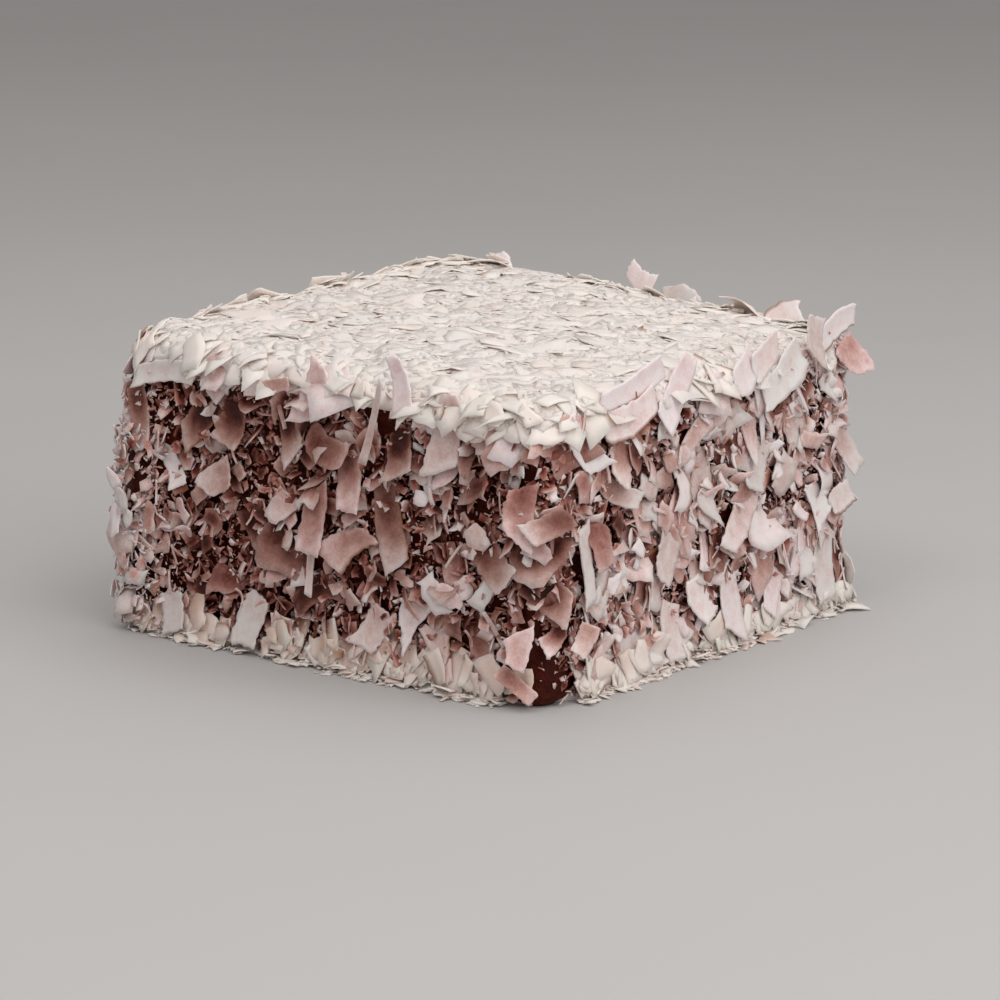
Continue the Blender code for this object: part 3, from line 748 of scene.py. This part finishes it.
def make_bank(look):
    """The bank of fine coconut along the foot of the sides."""
    columns, sunk = 420, 2 * MM
    s = np.arange(columns) / columns * PERIMETER
    point, outward = round_side(s)
    covered = np.clip((np.abs(along_from(s, BARE_CORNER)) - 11 * MM) / (9 * MM), 0, 1)
    width = 4.6 * MM + uneven(s, 0, (1.4, 40, 21), (0.8, 9, 22))
    height = 2.4 * MM + uneven(s, 0, (1.2, 30, 23), (0.8, 8, 24))
    width = width * covered - sunk * (1 - covered)
    outline = ((sunk, 0, 1), (0, 0.35, 0.9), (0, 0.7, 0.5), (0, 1, 0), (sunk, 0, 0))
    rings = []
    for inwards, wide, high in outline:
        ring = point + outward * (width * wide - inwards)[:, None]
        ring[:, 2] = FLOOR_GAP + height * high * (0.3 + 0.7 * covered)
        rings.append(ring)
    index = np.arange(len(rings) * columns).reshape(len(rings), columns)
    below = np.roll(index, -1, axis=0)
    quads = np.stack([index, below, np.roll(below, -1, axis=1), np.roll(index, -1, axis=1)], -1)
    finish_plain(make_object("foot_bank", np.concatenate(rings), quads), look, 0.10, 0.75)


def finish_plain(made, look, stain, tone):
    """Finish a smooth piece that has the same stain and tone all over."""
    for name, value in (("stain", stain), ("tone", tone), ("rust", 0.0)):
        add_attribute(made.data, name, np.full(len(made.data.vertices), value))
    made.data.shade_smooth()
    finish_piece(made, look)


# The chips, kind by kind

# The chips that stand out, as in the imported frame. For each: place along its face, height,
# length and width in mm; spin, tilt, curl, cup and twist in degrees; and stain.
FRONT = (
    (-79, 107, 34, 10, 82, 12, 24, 50, 0, 0.08),
    (-79, 71, 23, 10, -42, 14, 40, 40, 20, 0.00),
    (40, 116, 23, 8, -14, 6, 14, 20, 12, 0.24),
    (62, 100, 30, 14, 3, 6, 16, 20, 6, 0.30),
    (38, 90, 18, 14, -8, 14, 20, 24, 0, 0.62),
    (33, 61, 33, 12, -18, 9, 26, 16, 10, 0.42),
    (45, 30, 26, 15, 34, 14, 24, 28, 0, 0.10),
    (72, 21, 32, 12, -24, 12, 24, 20, -10, 0.34),
    (82, 54, 24, 15, -48, 18, 30, 20, 0, 0.50),
    (-52, 68, 19, 12, 60, 10, 20, 24, 0, 0.34),
    (-43, 91, 18, 15, 14, 11, 20, 30, 0, 0.68),
    (-17, 94, 25, 12, -22, 10, 18, 26, 8, 0.58),
    (-3, 109, 24, 14, 8, 9, 18, 30, 0, 0.38),
    (13, 80, 32, 12, -5, 12, 36, 20, 12, 0.42),
    (-4, 59, 27, 13, 8, 10, 18, 20, 0, 0.48),
    (-36, 14, 21, 14, 18, 15, 18, 26, 0, 0.10),
    (-76, 11, 17, 12, -16, 15, 16, 24, 0, 0.12),
)
CORNER = (
    (1, 71, 19, 11, 70, 16, 30, 24, 0, 0.50),
    (2, 43, 20, 13, -58, 16, 24, 22, 0, 0.56),
)
RIGHT = (
    (-84, 97, 25, 14, -34, 10, 20, 26, 0, 0.04),
    (-83, 52, 30, 11, 3, 8, 12, 20, 0, 0.10),
    (-62, 77, 25, 9, -58, 12, 70, 20, 0, 0.32),
    (-56, 104, 31, 13, 78, 10, 20, 26, 0, 0.16),
    (-24, 109, 33, 13, 48, 11, 34, 26, 0, 0.10),
    (48, 103, 36, 16, 58, 12, 26, 34, 0, 0.03),
    (19, 110, 19, 13, 58, 11, 18, 22, 0, 0.08),
    (71, 117, 17, 15, 14, 6, 16, 30, 0, 0.34),
    (101, 104, 18, 15, -38, 22, 8, 14, 0, 0.34),
    (98, 69, 27, 11, -30, 14, 20, 22, 10, 0.20),
    (-4, 73, 25, 19, 12, 10, 22, 24, 0, 0.14),
    (18, 51, 31, 13, 46, 12, 24, 24, 0, 0.22),
    (27, 84, 26, 8, -6, 10, 24, 20, 30, 0.28),
    (77, 48, 18, 14, -20, 12, 20, 26, 0, 0.05),
    (82, 19, 26, 12, 5, 9, 16, 22, 0, 0.10),
    (14, 18, 23, 13, 2, 11, 16, 24, 0, 0.10),
    (-26, 15, 23, 13, 6, 13, 18, 26, 0, 0.14),
    (-51, 16, 26, 21, 8, 13, 18, 26, 0, 0.08),
    (-32, 45, 19, 15, 40, 11, 18, 24, 0, 0.20),
)
STANDING = {"front": FRONT, "corner": CORNER, "right": RIGHT}
MIRRORED = {"back": ("right", 3), "left": ("front", 2)}
FACE_TURN = {"front": 0.0, "corner": 45.0, "right": 90.0, "back": 180.0, "left": 270.0}
STANDING_REACH = 9.5 * MM
FURTHER_REACH = 8.5 * MM

# Further chips in plain view that stand out less: the turn of the face, then as above
FURTHER = (
    (0, 28, 101, 35, 3.4, 17, -2, 14, 30, 30, 0.30),
    (0, -4, 41, 24, 4.0, 3, 8, 16, 30, 20, 0.26),
    (0, 4, 88, 21, 12, -68, 12, 16, 30, 0, 0.62),
    (0, 14, 51, 24, 14, 58, 12, 20, 24, 0, 0.40),
    (0, -24, 109, 24, 6, 78, 4, 20, 20, 0, 0.34),
    (0, -62, 90, 22, 13, 38, 12, 16, 24, 0, 0.64),
    (0, 56, 17, 18, 12, -16, 14, 16, 20, 0, 0.20),
    (0, 2, 7, 18, 12, 66, 18, 16, 20, 0, 0.14),
    (0, 24, 20, 18, 12, 24, 12, 18, 20, 0, 0.20),
    (0, -93, 88, 26, 9, -12, 8, 20, 26, 0, 0.52),
    (0, -92, 62, 24, 8, 14, 8, 20, 26, 0, 0.48),
    (45, -9, 74, 22, 13, 6, 10, 18, 26, 0, 0.42),
    (45, -10, 24, 14, 9.5, 14, 14, 16, 24, 0, 0.30),
    (45, 4, 28, 12, 8, 50, 16, 26, 40, 0, 0.50),
    (45, 15, 27, 12, 7.5, 20, 14, 16, 20, 0, 0.30),
    (45, -10, 10, 17, 6.5, -45, 16, 16, 20, 0, 0.42),
    (90, -74, 58, 19, 15, -10, 12, -40, -40, 0, 0.52),
    (90, -60, 88, 18, 12, 20, 12, 20, 24, 0, 0.38),
    (90, -54, 115, 38, 9, 76, 0, 30, 30, 0, 0.06),
    (90, 34, 114, 21, 13, 66, 2, 20, 30, 0, 0.18),
    (90, -14, 89, 26, 7, 58, 10, 50, 20, 60, 0.26),
    (90, 31, 71, 20, 14, 26, 10, 20, 24, 0, 0.10),
    (90, 92, 48, 15, 12, 70, 12, 18, 24, 0, 0.14),
    (90, -8, 24, 20, 13, -30, 12, 18, 24, 0, 0.10),
    (90, 44, 18, 20, 12, 30, 14, 18, 22, 0, 0.10),
    (90, 87, 119, 23, 11, 68, -4, 14, 24, 0, 0.06),
    (180, 4, 125, 16, 12, 58, -10, -24, 20, 0, 0.14),
    (180, 79, 121, 16, 12, 20, -8, 14, 20, 0, 0.05),
    (180, -70, 115, 17, 13, -50, -10, 14, 20, 0, 0.06),
    (180, -17, 119, 17, 11, 64, -8, 14, 20, 0, 0.06),
    (270, -29, 118, 17, 12, 44, -6, 14, 20, 0, 0.06),
    (270, -84, 117, 16, 12, -54, -6, 14, 20, 0, 0.05),
)


def mirrored(spec):
    u, z, length, width, spin, tilt, curl, cup, twist, stain = spec
    return -u, z, length, width, -spin, tilt, curl, cup, -twist, stain


def standing_layout():
    """Every standing chip: (node name, turn of its face, its values)."""
    layout = dict(STANDING)
    for face, (pattern, step) in MIRRORED.items():
        layout[face] = [mirrored(spec) for spec in STANDING[pattern][::step]]
    return [
        (f"chip_{face}_{number:02d}", FACE_TURN[face], spec)
        for face, specs in layout.items()
        for number, spec in enumerate(specs, 1)
    ]


def face_place(turn, u, z):
    """Place on a flat face, or on the flat that touches the near corner."""
    reach = np.where(turn % 90 == 0, HALF, FLAT * math.sqrt(2) + CORNER_RADIUS)
    sideways, inwards, upwards = level_axes(np.radians(turn))
    point = sideways * u[:, None] - inwards * reach[:, None]
    point[:, 2] = z
    return point, sideways, upwards, -inwards


def make_placed(name, turn, specs, reach, look):
    """A piece of chips that each have a place of their own, with their middles and lengths."""
    rng = own_random(name)
    rim_height, rim_depth = 113, 10
    u, z, length, width, spin, tilt, curl, cup, twist, stain = np.array(specs, float).T
    chips = Chips(length * MM, width * MM, rng)
    chips.curl, chips.cup, chips.twist = (np.radians(angle) for angle in (curl, cup, twist / 2))
    chips.point *= 0.5
    chips.bulge *= 1.5
    place = face_place(np.array(turn), u * MM, z * MM)
    pose = pose_matrix(spin, tilt, rng.normal(0, 4, len(u)))
    highest = z + 0.5 * length * np.abs(np.cos(np.radians(spin)))
    overtop = np.clip((highest - rim_height) / rim_depth, 0, 1)
    stain = stain * (0.9 + 0.9 * stain) * (1 - 0.5 * overtop) + 0.02
    colour = stain, rng.uniform(0, 1, len(u)), some_rust(len(u), 0.12, rng)
    depth = reach + rng.uniform(-0.5, 1.5, len(u)) * MM
    made = chip_mesh(name, look, chips, place, pose, depth, colour, 15, 9, 0.05)
    return made, outer_points(place), length * MM


def make_standing(look):
    """The chips that stand out of the coats and the further ones, and where they all are."""
    names, turns, specs = zip(*standing_layout())
    made, places, lengths = make_placed("standing_chips", turns, specs, STANDING_REACH, look)
    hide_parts(*names)
    turns, specs = zip(*[(float(turn), spec) for turn, *spec in FURTHER])
    _, more_places, more_lengths = make_placed("further_chips", turns, specs, FURTHER_REACH, look)
    return np.concatenate([places, more_places]), np.concatenate([lengths, more_lengths])


def finish_piece(made, look):
    made.data.materials.append(look)


def some_rust(count, share, rng):
    """The share of chips that keep a line of brown skin."""
    return (rng.uniform(0, 1, count) < share) * 1.0


def outer_points(place):
    """Points in the coat, outside places on the sponge."""
    return place[0] + place[3] * 6 * MM


def clear_of(points, taken, share):
    """Which points keep clear of the standing chips, by a share of their length."""
    centres, lengths = taken
    gap = np.linalg.norm(points[:, None] - centres[None], axis=-1)
    return (gap > share * lengths[None]).all(axis=1)


def bare(s, z, wider):
    """Which places lie in the patch of bare icing, or in one so many times as wide and high."""
    away = along_from(s, BARE_CORNER) / (wider * BARE_HALF_WIDTH)
    return z < wider * BARE_HEIGHT * (1 - away**2) * (1 + 0.55 * patchy(s, z, 13 * MM, 27))


def near_corner(s):
    """One at the corners of the sides, falling to nothing at CORNER_REACH from them."""
    away = np.abs(np.mod(s - BARE_CORNER + SIDE_LENGTH / 2, SIDE_LENGTH) - SIDE_LENGTH / 2)
    return np.clip(1 - away / CORNER_REACH, 0, 1)


def fuller(s, z):
    """How full the coat is round one corner of the sides: one at the most."""
    full = np.clip(1 - np.abs(along_from(s, FULL_CORNER)) / FULL_REACH, 0, 1)
    fade = np.where(z > FULL_HEIGHT, FADE_ABOVE, FADE_BELOW)
    return full * np.clip(1 - ((z - FULL_HEIGHT) / fade) ** 2, 0, 1)


def fine(s, z):
    """One in the patch of fine bits, falling to nothing round it."""
    away = (along_from(s, BARE_CORNER) + FINE_LEFT) / FINE_HALF_WIDTH
    high = (z - FINE_MIDDLE) / FINE_HALF_HEIGHT
    return np.clip(1.3 - away**2 - high**2, 0, 1)


def stain_and_shade_by_side(s):
    """How much darker the front and left sides are coloured than the right and back ones: partly more
    chocolate stain, partly painted shade of the front, which the key light from the right only grazes.
    """
    return 0.06 + 0.26 * np.cos(2 * math.pi * (s + ARC / 2) / PERIMETER)


def make_side_kind(name, look, taken, *, count, middle, spread, ratio, reach, tilt, roll, spin, stain,
                   rows, lanes, patch=0.0, avoid=0.0, keep_bare=0.0, foot=4.0, ragged=0.08, rust=0.05,
                   curl=18, pale=0.08, front=1.0, wider=1.0):
    """One kind of chip, scattered over the four sides.

    patch is how uneven the scatter is, avoid how clear it keeps of the placed chips, keep_bare and
    front the shares kept on the bare patch and on the front and left, pale the share of paler
    chips, and wider how much wider the bare patch is for this kind.
    """
    rng = own_random(name)
    s, z = jittered(count, PERIMETER, CAKE_HEIGHT + (2 - foot) * MM, rng)
    z = z + foot * MM
    share = 0.6 + patch * patchy(s, z, PATCH_SIZE, 11) + 0.45 * near_corner(s)
    share = share * np.where(np.abs(along_from(s, FULL_CORNER)) < SIDE_LENGTH, front, 1)
    share = share * (1 - 1.6 * (wider - 1) * fine(s, z))
    kept = rng.uniform(0, 1, s.size) < np.clip(share, 0.1, 1)
    kept &= ~bare(s, z, wider) | (rng.uniform(0, 1, s.size) < keep_bare)
    if avoid:
        kept &= clear_of(outer_points(side_place(s, z)), taken, avoid)
    s, z = s[kept], z[kept]
    number = s.size
    length = chip_lengths(rng, number, middle, spread)
    z = np.minimum(z, CAKE_HEIGHT + 1.5 * MM - 0.45 * length)
    chips = Chips(length, length * rng.uniform(*ratio, number), rng, curl)
    place = side_place(s, z)
    turned = np.where(rng.uniform(0, 1, number) < 0.22, 3.0, 1.0) * rng.normal(0, spin, number)
    rolled = rng.normal(0, roll, number)
    pose = pose_matrix(turned, rng.normal(*tilt, number), rolled)
    depth = rng.uniform(*reach, number) * MM
    above = (z - CAKE_HEIGHT + 2 * MM + 10 * MM * near_corner(s)) / RIM_ROUND
    drawn_in = RIM_ROUND * (1 - np.sqrt(1 - np.clip(above, 0, 0.95) ** 2))
    depth -= drawn_in
    depth += FULLNESS * fuller(s, z)
    # Chips set deeper in the coat get more stain: partly soaked in, partly painted shade under the outer
    # chips.
    deep = 0.5 - (depth / MM - reach[0]) / (reach[1] - reach[0])
    tint = side_tint(rng, s, z, stain, deep, pale)
    colour = tint, rng.uniform(0, 1, number), some_rust(number, rust, rng)
    return chip_mesh(name, look, chips, place, pose, depth, colour, rows, lanes, ragged,
                     ground=-drawn_in)


def side_tint(rng, s, z, stain, deep, pale):
    """Stain of chips on the sides: more where deep and on the front and left, both partly painted shade,
    less at the foot, at the rim and on pale ones.
    """
    foot, rim, rim_start = 14 * MM, 9 * MM, CAKE_HEIGHT - 8 * MM
    tint = rng.normal(*stain, s.size) + stain_and_shade_by_side(s) + 0.40 * deep
    tint += 0.07 * patchy(s, z, 55 * MM, 12) + 0.14 * fuller(s, z)
    tint *= np.where(rng.uniform(0, 1, s.size) < pale, 0.35, 1.0)
    tint *= 0.55 + 0.45 * np.clip(z / foot, 0, 1)
    tint *= 1 - 0.8 * np.clip((z - rim_start) / rim, 0, 1)
    return np.clip(tint, 0.06, 1)


def make_sides(tinted, soaked, taken):
    """All the chips on the four sides, from large ones to crumbs."""
    large = make_side_kind(
        "side_large", tinted, taken, count=620, middle=15.5, spread=0.24, ratio=(0.4, 0.95),
        reach=(5, 8), tilt=(9, 7), roll=10, spin=42, stain=(0.48, 0.24), rows=8, lanes=5, patch=0.5,
        avoid=0.45, foot=9, ragged=0.09, rust=0.06, front=0.4, wider=1.5)
    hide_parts("coconut_front", "coconut_right", "coconut_back", "coconut_left")
    make_side_kind(
        "side_medium", tinted, taken, count=2450, middle=9.0, spread=0.25, ratio=(0.45, 0.95),
        reach=(3, 7.5), tilt=(11, 19), roll=24, spin=50, stain=(0.56, 0.26), rows=5, lanes=4,
        patch=0.5, avoid=0.3, foot=6, keep_bare=0.06, ragged=0.1, front=0.8, wider=1.4)
    make_side_kind(
        "side_short", soaked, taken, count=5200, middle=5.5, spread=0.28, ratio=(0.4, 0.95),
        reach=(1.6, 6.0), tilt=(12, 27), roll=32, spin=48, stain=(0.60, 0.30), rows=4, lanes=3,
        patch=0.3, avoid=0.22, keep_bare=0.1, ragged=0.12, wider=1.2, pale=0.12)
    make_side_kind(
        "side_bits", soaked, taken, count=11500, middle=3.2, spread=0.32, ratio=(0.3, 0.9),
        reach=(0.8, 5.2), tilt=(8, 34), roll=38, spin=60, stain=(0.60, 0.28), rows=3, lanes=2,
        patch=-0.4, avoid=0.15, foot=2, ragged=0.14, keep_bare=0.18, front=0.85)
    make_side_kind(
        "side_crumbs", soaked, taken, count=16000, middle=1.7, spread=0.3, ratio=(0.25, 0.8),
        reach=(0.4, 3.8), tilt=(0, 45), roll=45, spin=90, stain=(0.50, 0.34), rows=2, lanes=2,
        patch=-0.5, avoid=0.15, foot=1, ragged=0.16, keep_bare=0.3, pale=0.15, front=0.85)
    make_side_kind(
        "side_slivers", tinted, taken, count=190, middle=11, spread=0.35, ratio=(0.08, 0.17),
        reach=(4.5, 8), tilt=(7, 10), roll=30, spin=30, stain=(0.48, 0.2), rows=8, lanes=3, foot=8,
        rust=0.12, curl=40)


def make_top_kind(name, look, *, count, middle, spread, ratio, rise, tilt, rows, lanes, ragged=0.07,
                  curl=22):
    """One kind of chip, scattered flat over the top."""
    rng = own_random(name)
    from_rim = 3 * MM
    x, y = jittered(count, 2 * HEAP_HALF, 2 * HEAP_HALF, rng)
    x, y = x - HEAP_HALF, y - HEAP_HALF
    kept = past_straight(x, y) < RIM_CORNER - from_rim
    x, y = x[kept], y[kept]
    number = x.size
    length = chip_lengths(rng, number, middle, spread)
    chips = Chips(length, length * rng.uniform(*ratio, number), rng, curl, curl, 6, domed=True)
    place = top_place(x, y, rng.uniform(0, 2 * math.pi, number), 0.35 * length)
    pose = pose_matrix(np.zeros(number), rng.normal(0, tilt, number), rng.normal(0, tilt, number))
    high = rng.uniform(*rise, number) * MM
    tint = np.clip(rng.normal(0.03, 0.03, number), 0, 0.3)
    colour = tint, rng.uniform(0.55, 1, number), some_rust(number, 0.004, rng)
    chip_mesh(name, look, chips, place, pose, high, colour, rows, lanes, ragged,
              thickness=TOP_THICKNESS, settled=True)


def make_top(look):
    """The heap of flat white chips on the top."""
    make_top_kind(
        "top_large", look, count=900, middle=16, spread=0.25, ratio=(0.45, 0.9), rise=(-0.2, 0.3),
        tilt=2.2, rows=6, lanes=5, curl=6)
    make_top_kind(
        "top_medium", look, count=1800, middle=8.5, spread=0.25, ratio=(0.45, 0.95), rise=(-0.15, 0.4),
        tilt=3.2, rows=4, lanes=3, ragged=0.09, curl=8)
    make_top_kind(
        "top_bits", look, count=3000, middle=4.2, spread=0.28, ratio=(0.4, 0.95), rise=(-0.1, 0.5),
        tilt=7, rows=3, lanes=2, ragged=0.14)


def make_rim_kind(name, look, taken, *, count, middle, droop, reach, tilt, spin, stain, domed, front=1.0,
                  hang=0.6):
    """Chips that wrap the rim, or stand up from it; front is the share that the front and left keep.

    The steeper a chip droops, in degrees, the lower it hangs, by a share of half its length.
    """
    rng = own_random(name)
    share = even_shares(count, rng)
    at_front = (share < 0.25) | (share > 0.75)
    kept = ~at_front | (rng.uniform(0, 1, count) < front)
    share, at_front = share[kept], at_front[kept]
    point, outward = round_square(share, HEAP_HALF - RIM_ROUND, RIM_CORNER - RIM_ROUND)
    on_rim = point + outward * RIM_ROUND + (0, 0, CAKE_HEIGHT)
    kept = clear_of(on_rim, taken, 0.55) | (at_front & clear_of(on_rim, taken, 0.35))
    point, outward = point[kept], outward[kept]
    count = len(point)
    length = chip_lengths(rng, count, middle, 0.28, high=1.9)
    chips = Chips(length, length * rng.uniform(0.45, 0.9, count), rng, domed=domed)
    drooping = rng.uniform(*droop, count)
    lean = np.radians(drooping)[:, None]
    sideways, upwards = upright_axes(outward)
    outwards = outward * np.sin(lean) + upwards * np.cos(lean)
    forwards = upwards * np.sin(lean) - outward * np.cos(lean)
    edge = point + outward * RIM_ROUND
    point[:, 2] = cake_top(edge[:, 0], edge[:, 1]) + heap_level(edge[:, 0], edge[:, 1]) - RIM_ROUND
    point -= forwards * (0.5 * hang * length * np.sin(lean[:, 0]) ** 2)[:, None]
    pose = pose_matrix(rng.normal(0, spin, count), rng.normal(*tilt, count), rng.normal(0, 9, count))
    tint = np.clip(rng.normal(*stain, count) + (drooping - 30) / 260, 0, 0.5)
    colour = tint, rng.uniform(0.4, 1, count), some_rust(count, 0.05, rng)
    place = point, sideways, forwards, outwards
    far = RIM_ROUND + rng.uniform(*reach, count) * MM
    chip_mesh(name, look, chips, place, pose, far, colour, 5, 5, sunk=-2 * MM)


def make_rim(white, tinted, taken):
    make_rim_kind("rim_white", white, taken, count=540, middle=14, droop=(5, 55), reach=(0.2, 3.0),
                  tilt=(-3, 7), spin=50, stain=(0.04, 0.04), domed=True)
    make_rim_kind("rim_mauve", tinted, taken, count=110, middle=14, droop=(50, 80), reach=(0.5, 3.0),
                  tilt=(-1, 8), spin=34, stain=(0.22, 0.12), domed=False, front=0.5)
    make_rim_kind("rim_broad", white, taken, count=46, middle=17, droop=(20, 58), reach=(1.5, 4.0),
                  tilt=(-3, 6), spin=60, stain=(0.08, 0.05), domed=True, front=0.15, hang=0.45)
    make_rim_kind("rim_upright", white, taken, count=54, middle=10, droop=(35, 65), reach=(2.0, 5.0),
                  tilt=(-14, 9), spin=40, stain=(0.08, 0.06), domed=False, front=0.4, hang=0.2)


def make_foot_kind(name, look, *, count, middle, spread, out, tilt, rows, lanes):
    """Whiter chips that lean against the foot of the sides."""
    rng = own_random(name)
    bare_reach, bare_share = 15 * MM, 0.1
    s = even_shares(count, rng) * PERIMETER
    away = np.abs(along_from(s, BARE_CORNER))
    kept = rng.uniform(0, 1, count) < 0.65 + 0.3 * patchy(s, 0, 38 * MM, 26)
    s = s[kept & ((away > bare_reach) | (rng.uniform(0, 1, count) < bare_share))]
    number = s.size
    length = chip_lengths(rng, number, middle, spread, high=1.7)
    chips = Chips(length, length * rng.uniform(0.45, 0.9, number), rng)
    spin = rng.normal(0, 45, number)
    lean = np.abs(rng.normal(*tilt, number))
    upright = 0.5 * length * np.abs(np.cos(np.radians(spin))) * np.cos(np.radians(lean))
    upright += 0.4 * length * np.abs(np.sin(np.radians(spin)))
    z = upright + np.abs(rng.normal(0, 2.5, number)) * MM
    place = side_place(s, z)
    pose = pose_matrix(spin, lean, rng.normal(0, 8, number))
    # Part of this stain follows the side, darker on the front and left: partly stain, partly painted
    # shade.
    tint = np.clip(rng.normal(0.07, 0.08, number) + z / (140 * MM) + 0.6 * stain_and_shade_by_side(s), 0, 0.6)
    colour = tint, rng.uniform(0.3, 1, number), some_rust(number, 0.05, rng)
    reach = rng.uniform(*out, number) * MM
    chip_mesh(name, look, chips, place, pose, reach, colour, rows, lanes)


def make_fallen(name, look, *, count, middle, spread, rows, lanes):
    """Chips and crumbs that lie flat along the foot of the sides."""
    rng = own_random(name)
    bare_reach, nearest, slope_foot = 13 * MM, 4.5, 8.5 * MM
    s = even_shares(count, rng) * PERIMETER
    kept = rng.uniform(0, 1, count) < 0.55 + 0.4 * patchy(s, 0, 45 * MM, 25)
    kept &= np.abs(along_from(s, BARE_CORNER)) > bare_reach
    s = s[kept]
    number = s.size
    length = chip_lengths(rng, number, middle, spread, 0.4, 2)
    chips = Chips(length, length * rng.uniform(0.4, 0.95, number), rng, 14, 14)
    point, outward = round_side(s)
    away = (nearest + np.abs(rng.normal(0, 2.6, number))) * MM
    point += outward * away[:, None]
    heading = rng.uniform(0, 2 * math.pi, number)
    zero = np.zeros(number)
    pose = pose_matrix(zero, rng.normal(0, 9, number), rng.normal(0, 9, number))
    high = 0.6 * MM + np.clip(slope_foot - away, 0, 4 * MM) * rng.uniform(0, 1, number)
    colour = np.clip(rng.normal(0.06, 0.08, number), 0, 0.5), rng.uniform(0.5, 1, number), zero
    chip_mesh(name, look, chips, (point, *level_axes(heading)), pose, high, colour, rows, lanes)


def make_foot(look):
    make_foot_kind("foot_large", look, count=250, middle=12, spread=0.28, out=(5.5, 9), tilt=(14, 8),
                   rows=6, lanes=4)
    make_foot_kind("foot_medium", look, count=640, middle=6.5, spread=0.28, out=(4.5, 9), tilt=(22, 14),
                   rows=4, lanes=3)
    make_fallen("foot_flakes", look, count=900, middle=5, spread=0.35, rows=4, lanes=3)
    make_fallen("foot_crumbs", look, count=2600, middle=2.0, spread=0.4, rows=2, lanes=2)


# Studio

# Each softbox: name, azimuth and elevation in degrees, distance and size in metres, watts
SOFTBOXES = (
    ("key", 80, 41, 1.6, 1.6, 13.3),
    ("fill", 2, 52, 2.0, 0.7, 5.4),
    ("top", 150, 80, 1.8, 2.0, 11.0),
)
LIGHT_COLOUR = (1.0, 0.985, 0.97)
LIGHTS_AIM_AT = 0.07
WORLD_COLOUR = (1.0, 0.965, 0.945, 1)
WORLD_STRENGTH = 0.38


def make_stage():
    """A wide pale floor."""
    reach = 8.0
    mesh = bpy.data.meshes.new("floor")
    corners = [(-reach, -reach, 0), (reach, -reach, 0), (reach, reach, 0), (-reach, reach, 0)]
    mesh.from_pydata(corners, [], [(0, 1, 2, 3)])
    mesh.materials.append(floor_material())
    floor = bpy.data.objects.new("floor", mesh)
    bpy.context.scene.collection.objects.link(floor)


def add_softbox(name, azimuth, elevation, distance, size, power):
    """A square softbox that faces the cake, placed by azimuth and elevation."""
    light = bpy.data.lights.new(name, "AREA")
    light.shape = "SQUARE"
    light.size = size
    light.energy = power
    light.color = LIGHT_COLOUR
    lamp = bpy.data.objects.new(name, light)
    a, e = math.radians(azimuth), math.radians(elevation)
    away = np.array([math.sin(a) * math.cos(e), -math.cos(a) * math.cos(e), math.sin(e)])
    lamp.location = away * distance + np.array([0, 0, LIGHTS_AIM_AT])
    yaw = math.atan2(away[1], away[0]) + math.pi / 2
    lamp.rotation_euler = (math.pi / 2 - e, 0, yaw)
    bpy.context.scene.collection.objects.link(lamp)


def make_lights():
    for softbox in SOFTBOXES:
        add_softbox(*softbox)
    world = bpy.data.worlds.new("studio")
    world.use_nodes = True
    background = world.node_tree.nodes["Background"]
    background.inputs["Color"].default_value = WORLD_COLOUR
    background.inputs["Strength"].default_value = WORLD_STRENGTH
    bpy.context.scene.world = world
    bpy.context.scene.view_settings.view_transform = "Standard"


def make_camera():
    data = bpy.data.cameras.new("camera")
    data.sensor_width = SENSOR
    data.lens = LENS_PIXELS * SENSOR / 1000
    data.clip_end = 50
    camera = bpy.data.objects.new("camera", data)
    camera.location = CAMERA_AT
    camera.rotation_euler = (math.radians(90 - CAMERA_PITCH), 0, math.radians(CAMERA_TURN))
    bpy.context.scene.collection.objects.link(camera)
    bpy.context.scene.camera = camera


def main():
    white = coconut_material("coconut_white", WHITE_STAINS, WARM_TONES, 0.08, 0.35, 0.7 * MM)
    tinted = coconut_material("coconut_tinted", TINTED_STAINS, COOL_TONES, 0.44, 0.25, 0.8 * MM)
    soaked = coconut_material("coconut_soaked", SOAKED_STAINS, COOL_TONES, 0.44, 0.25, 0.6 * MM)
    make_icing(icing_material())
    make_bed(white)
    taken = make_standing(tinted)
    make_sides(tinted, soaked, taken)
    make_bank(white)
    make_top(white)
    make_rim(white, tinted, taken)
    make_foot(white)
    make_stage()
    make_lights()
    make_camera()


main()
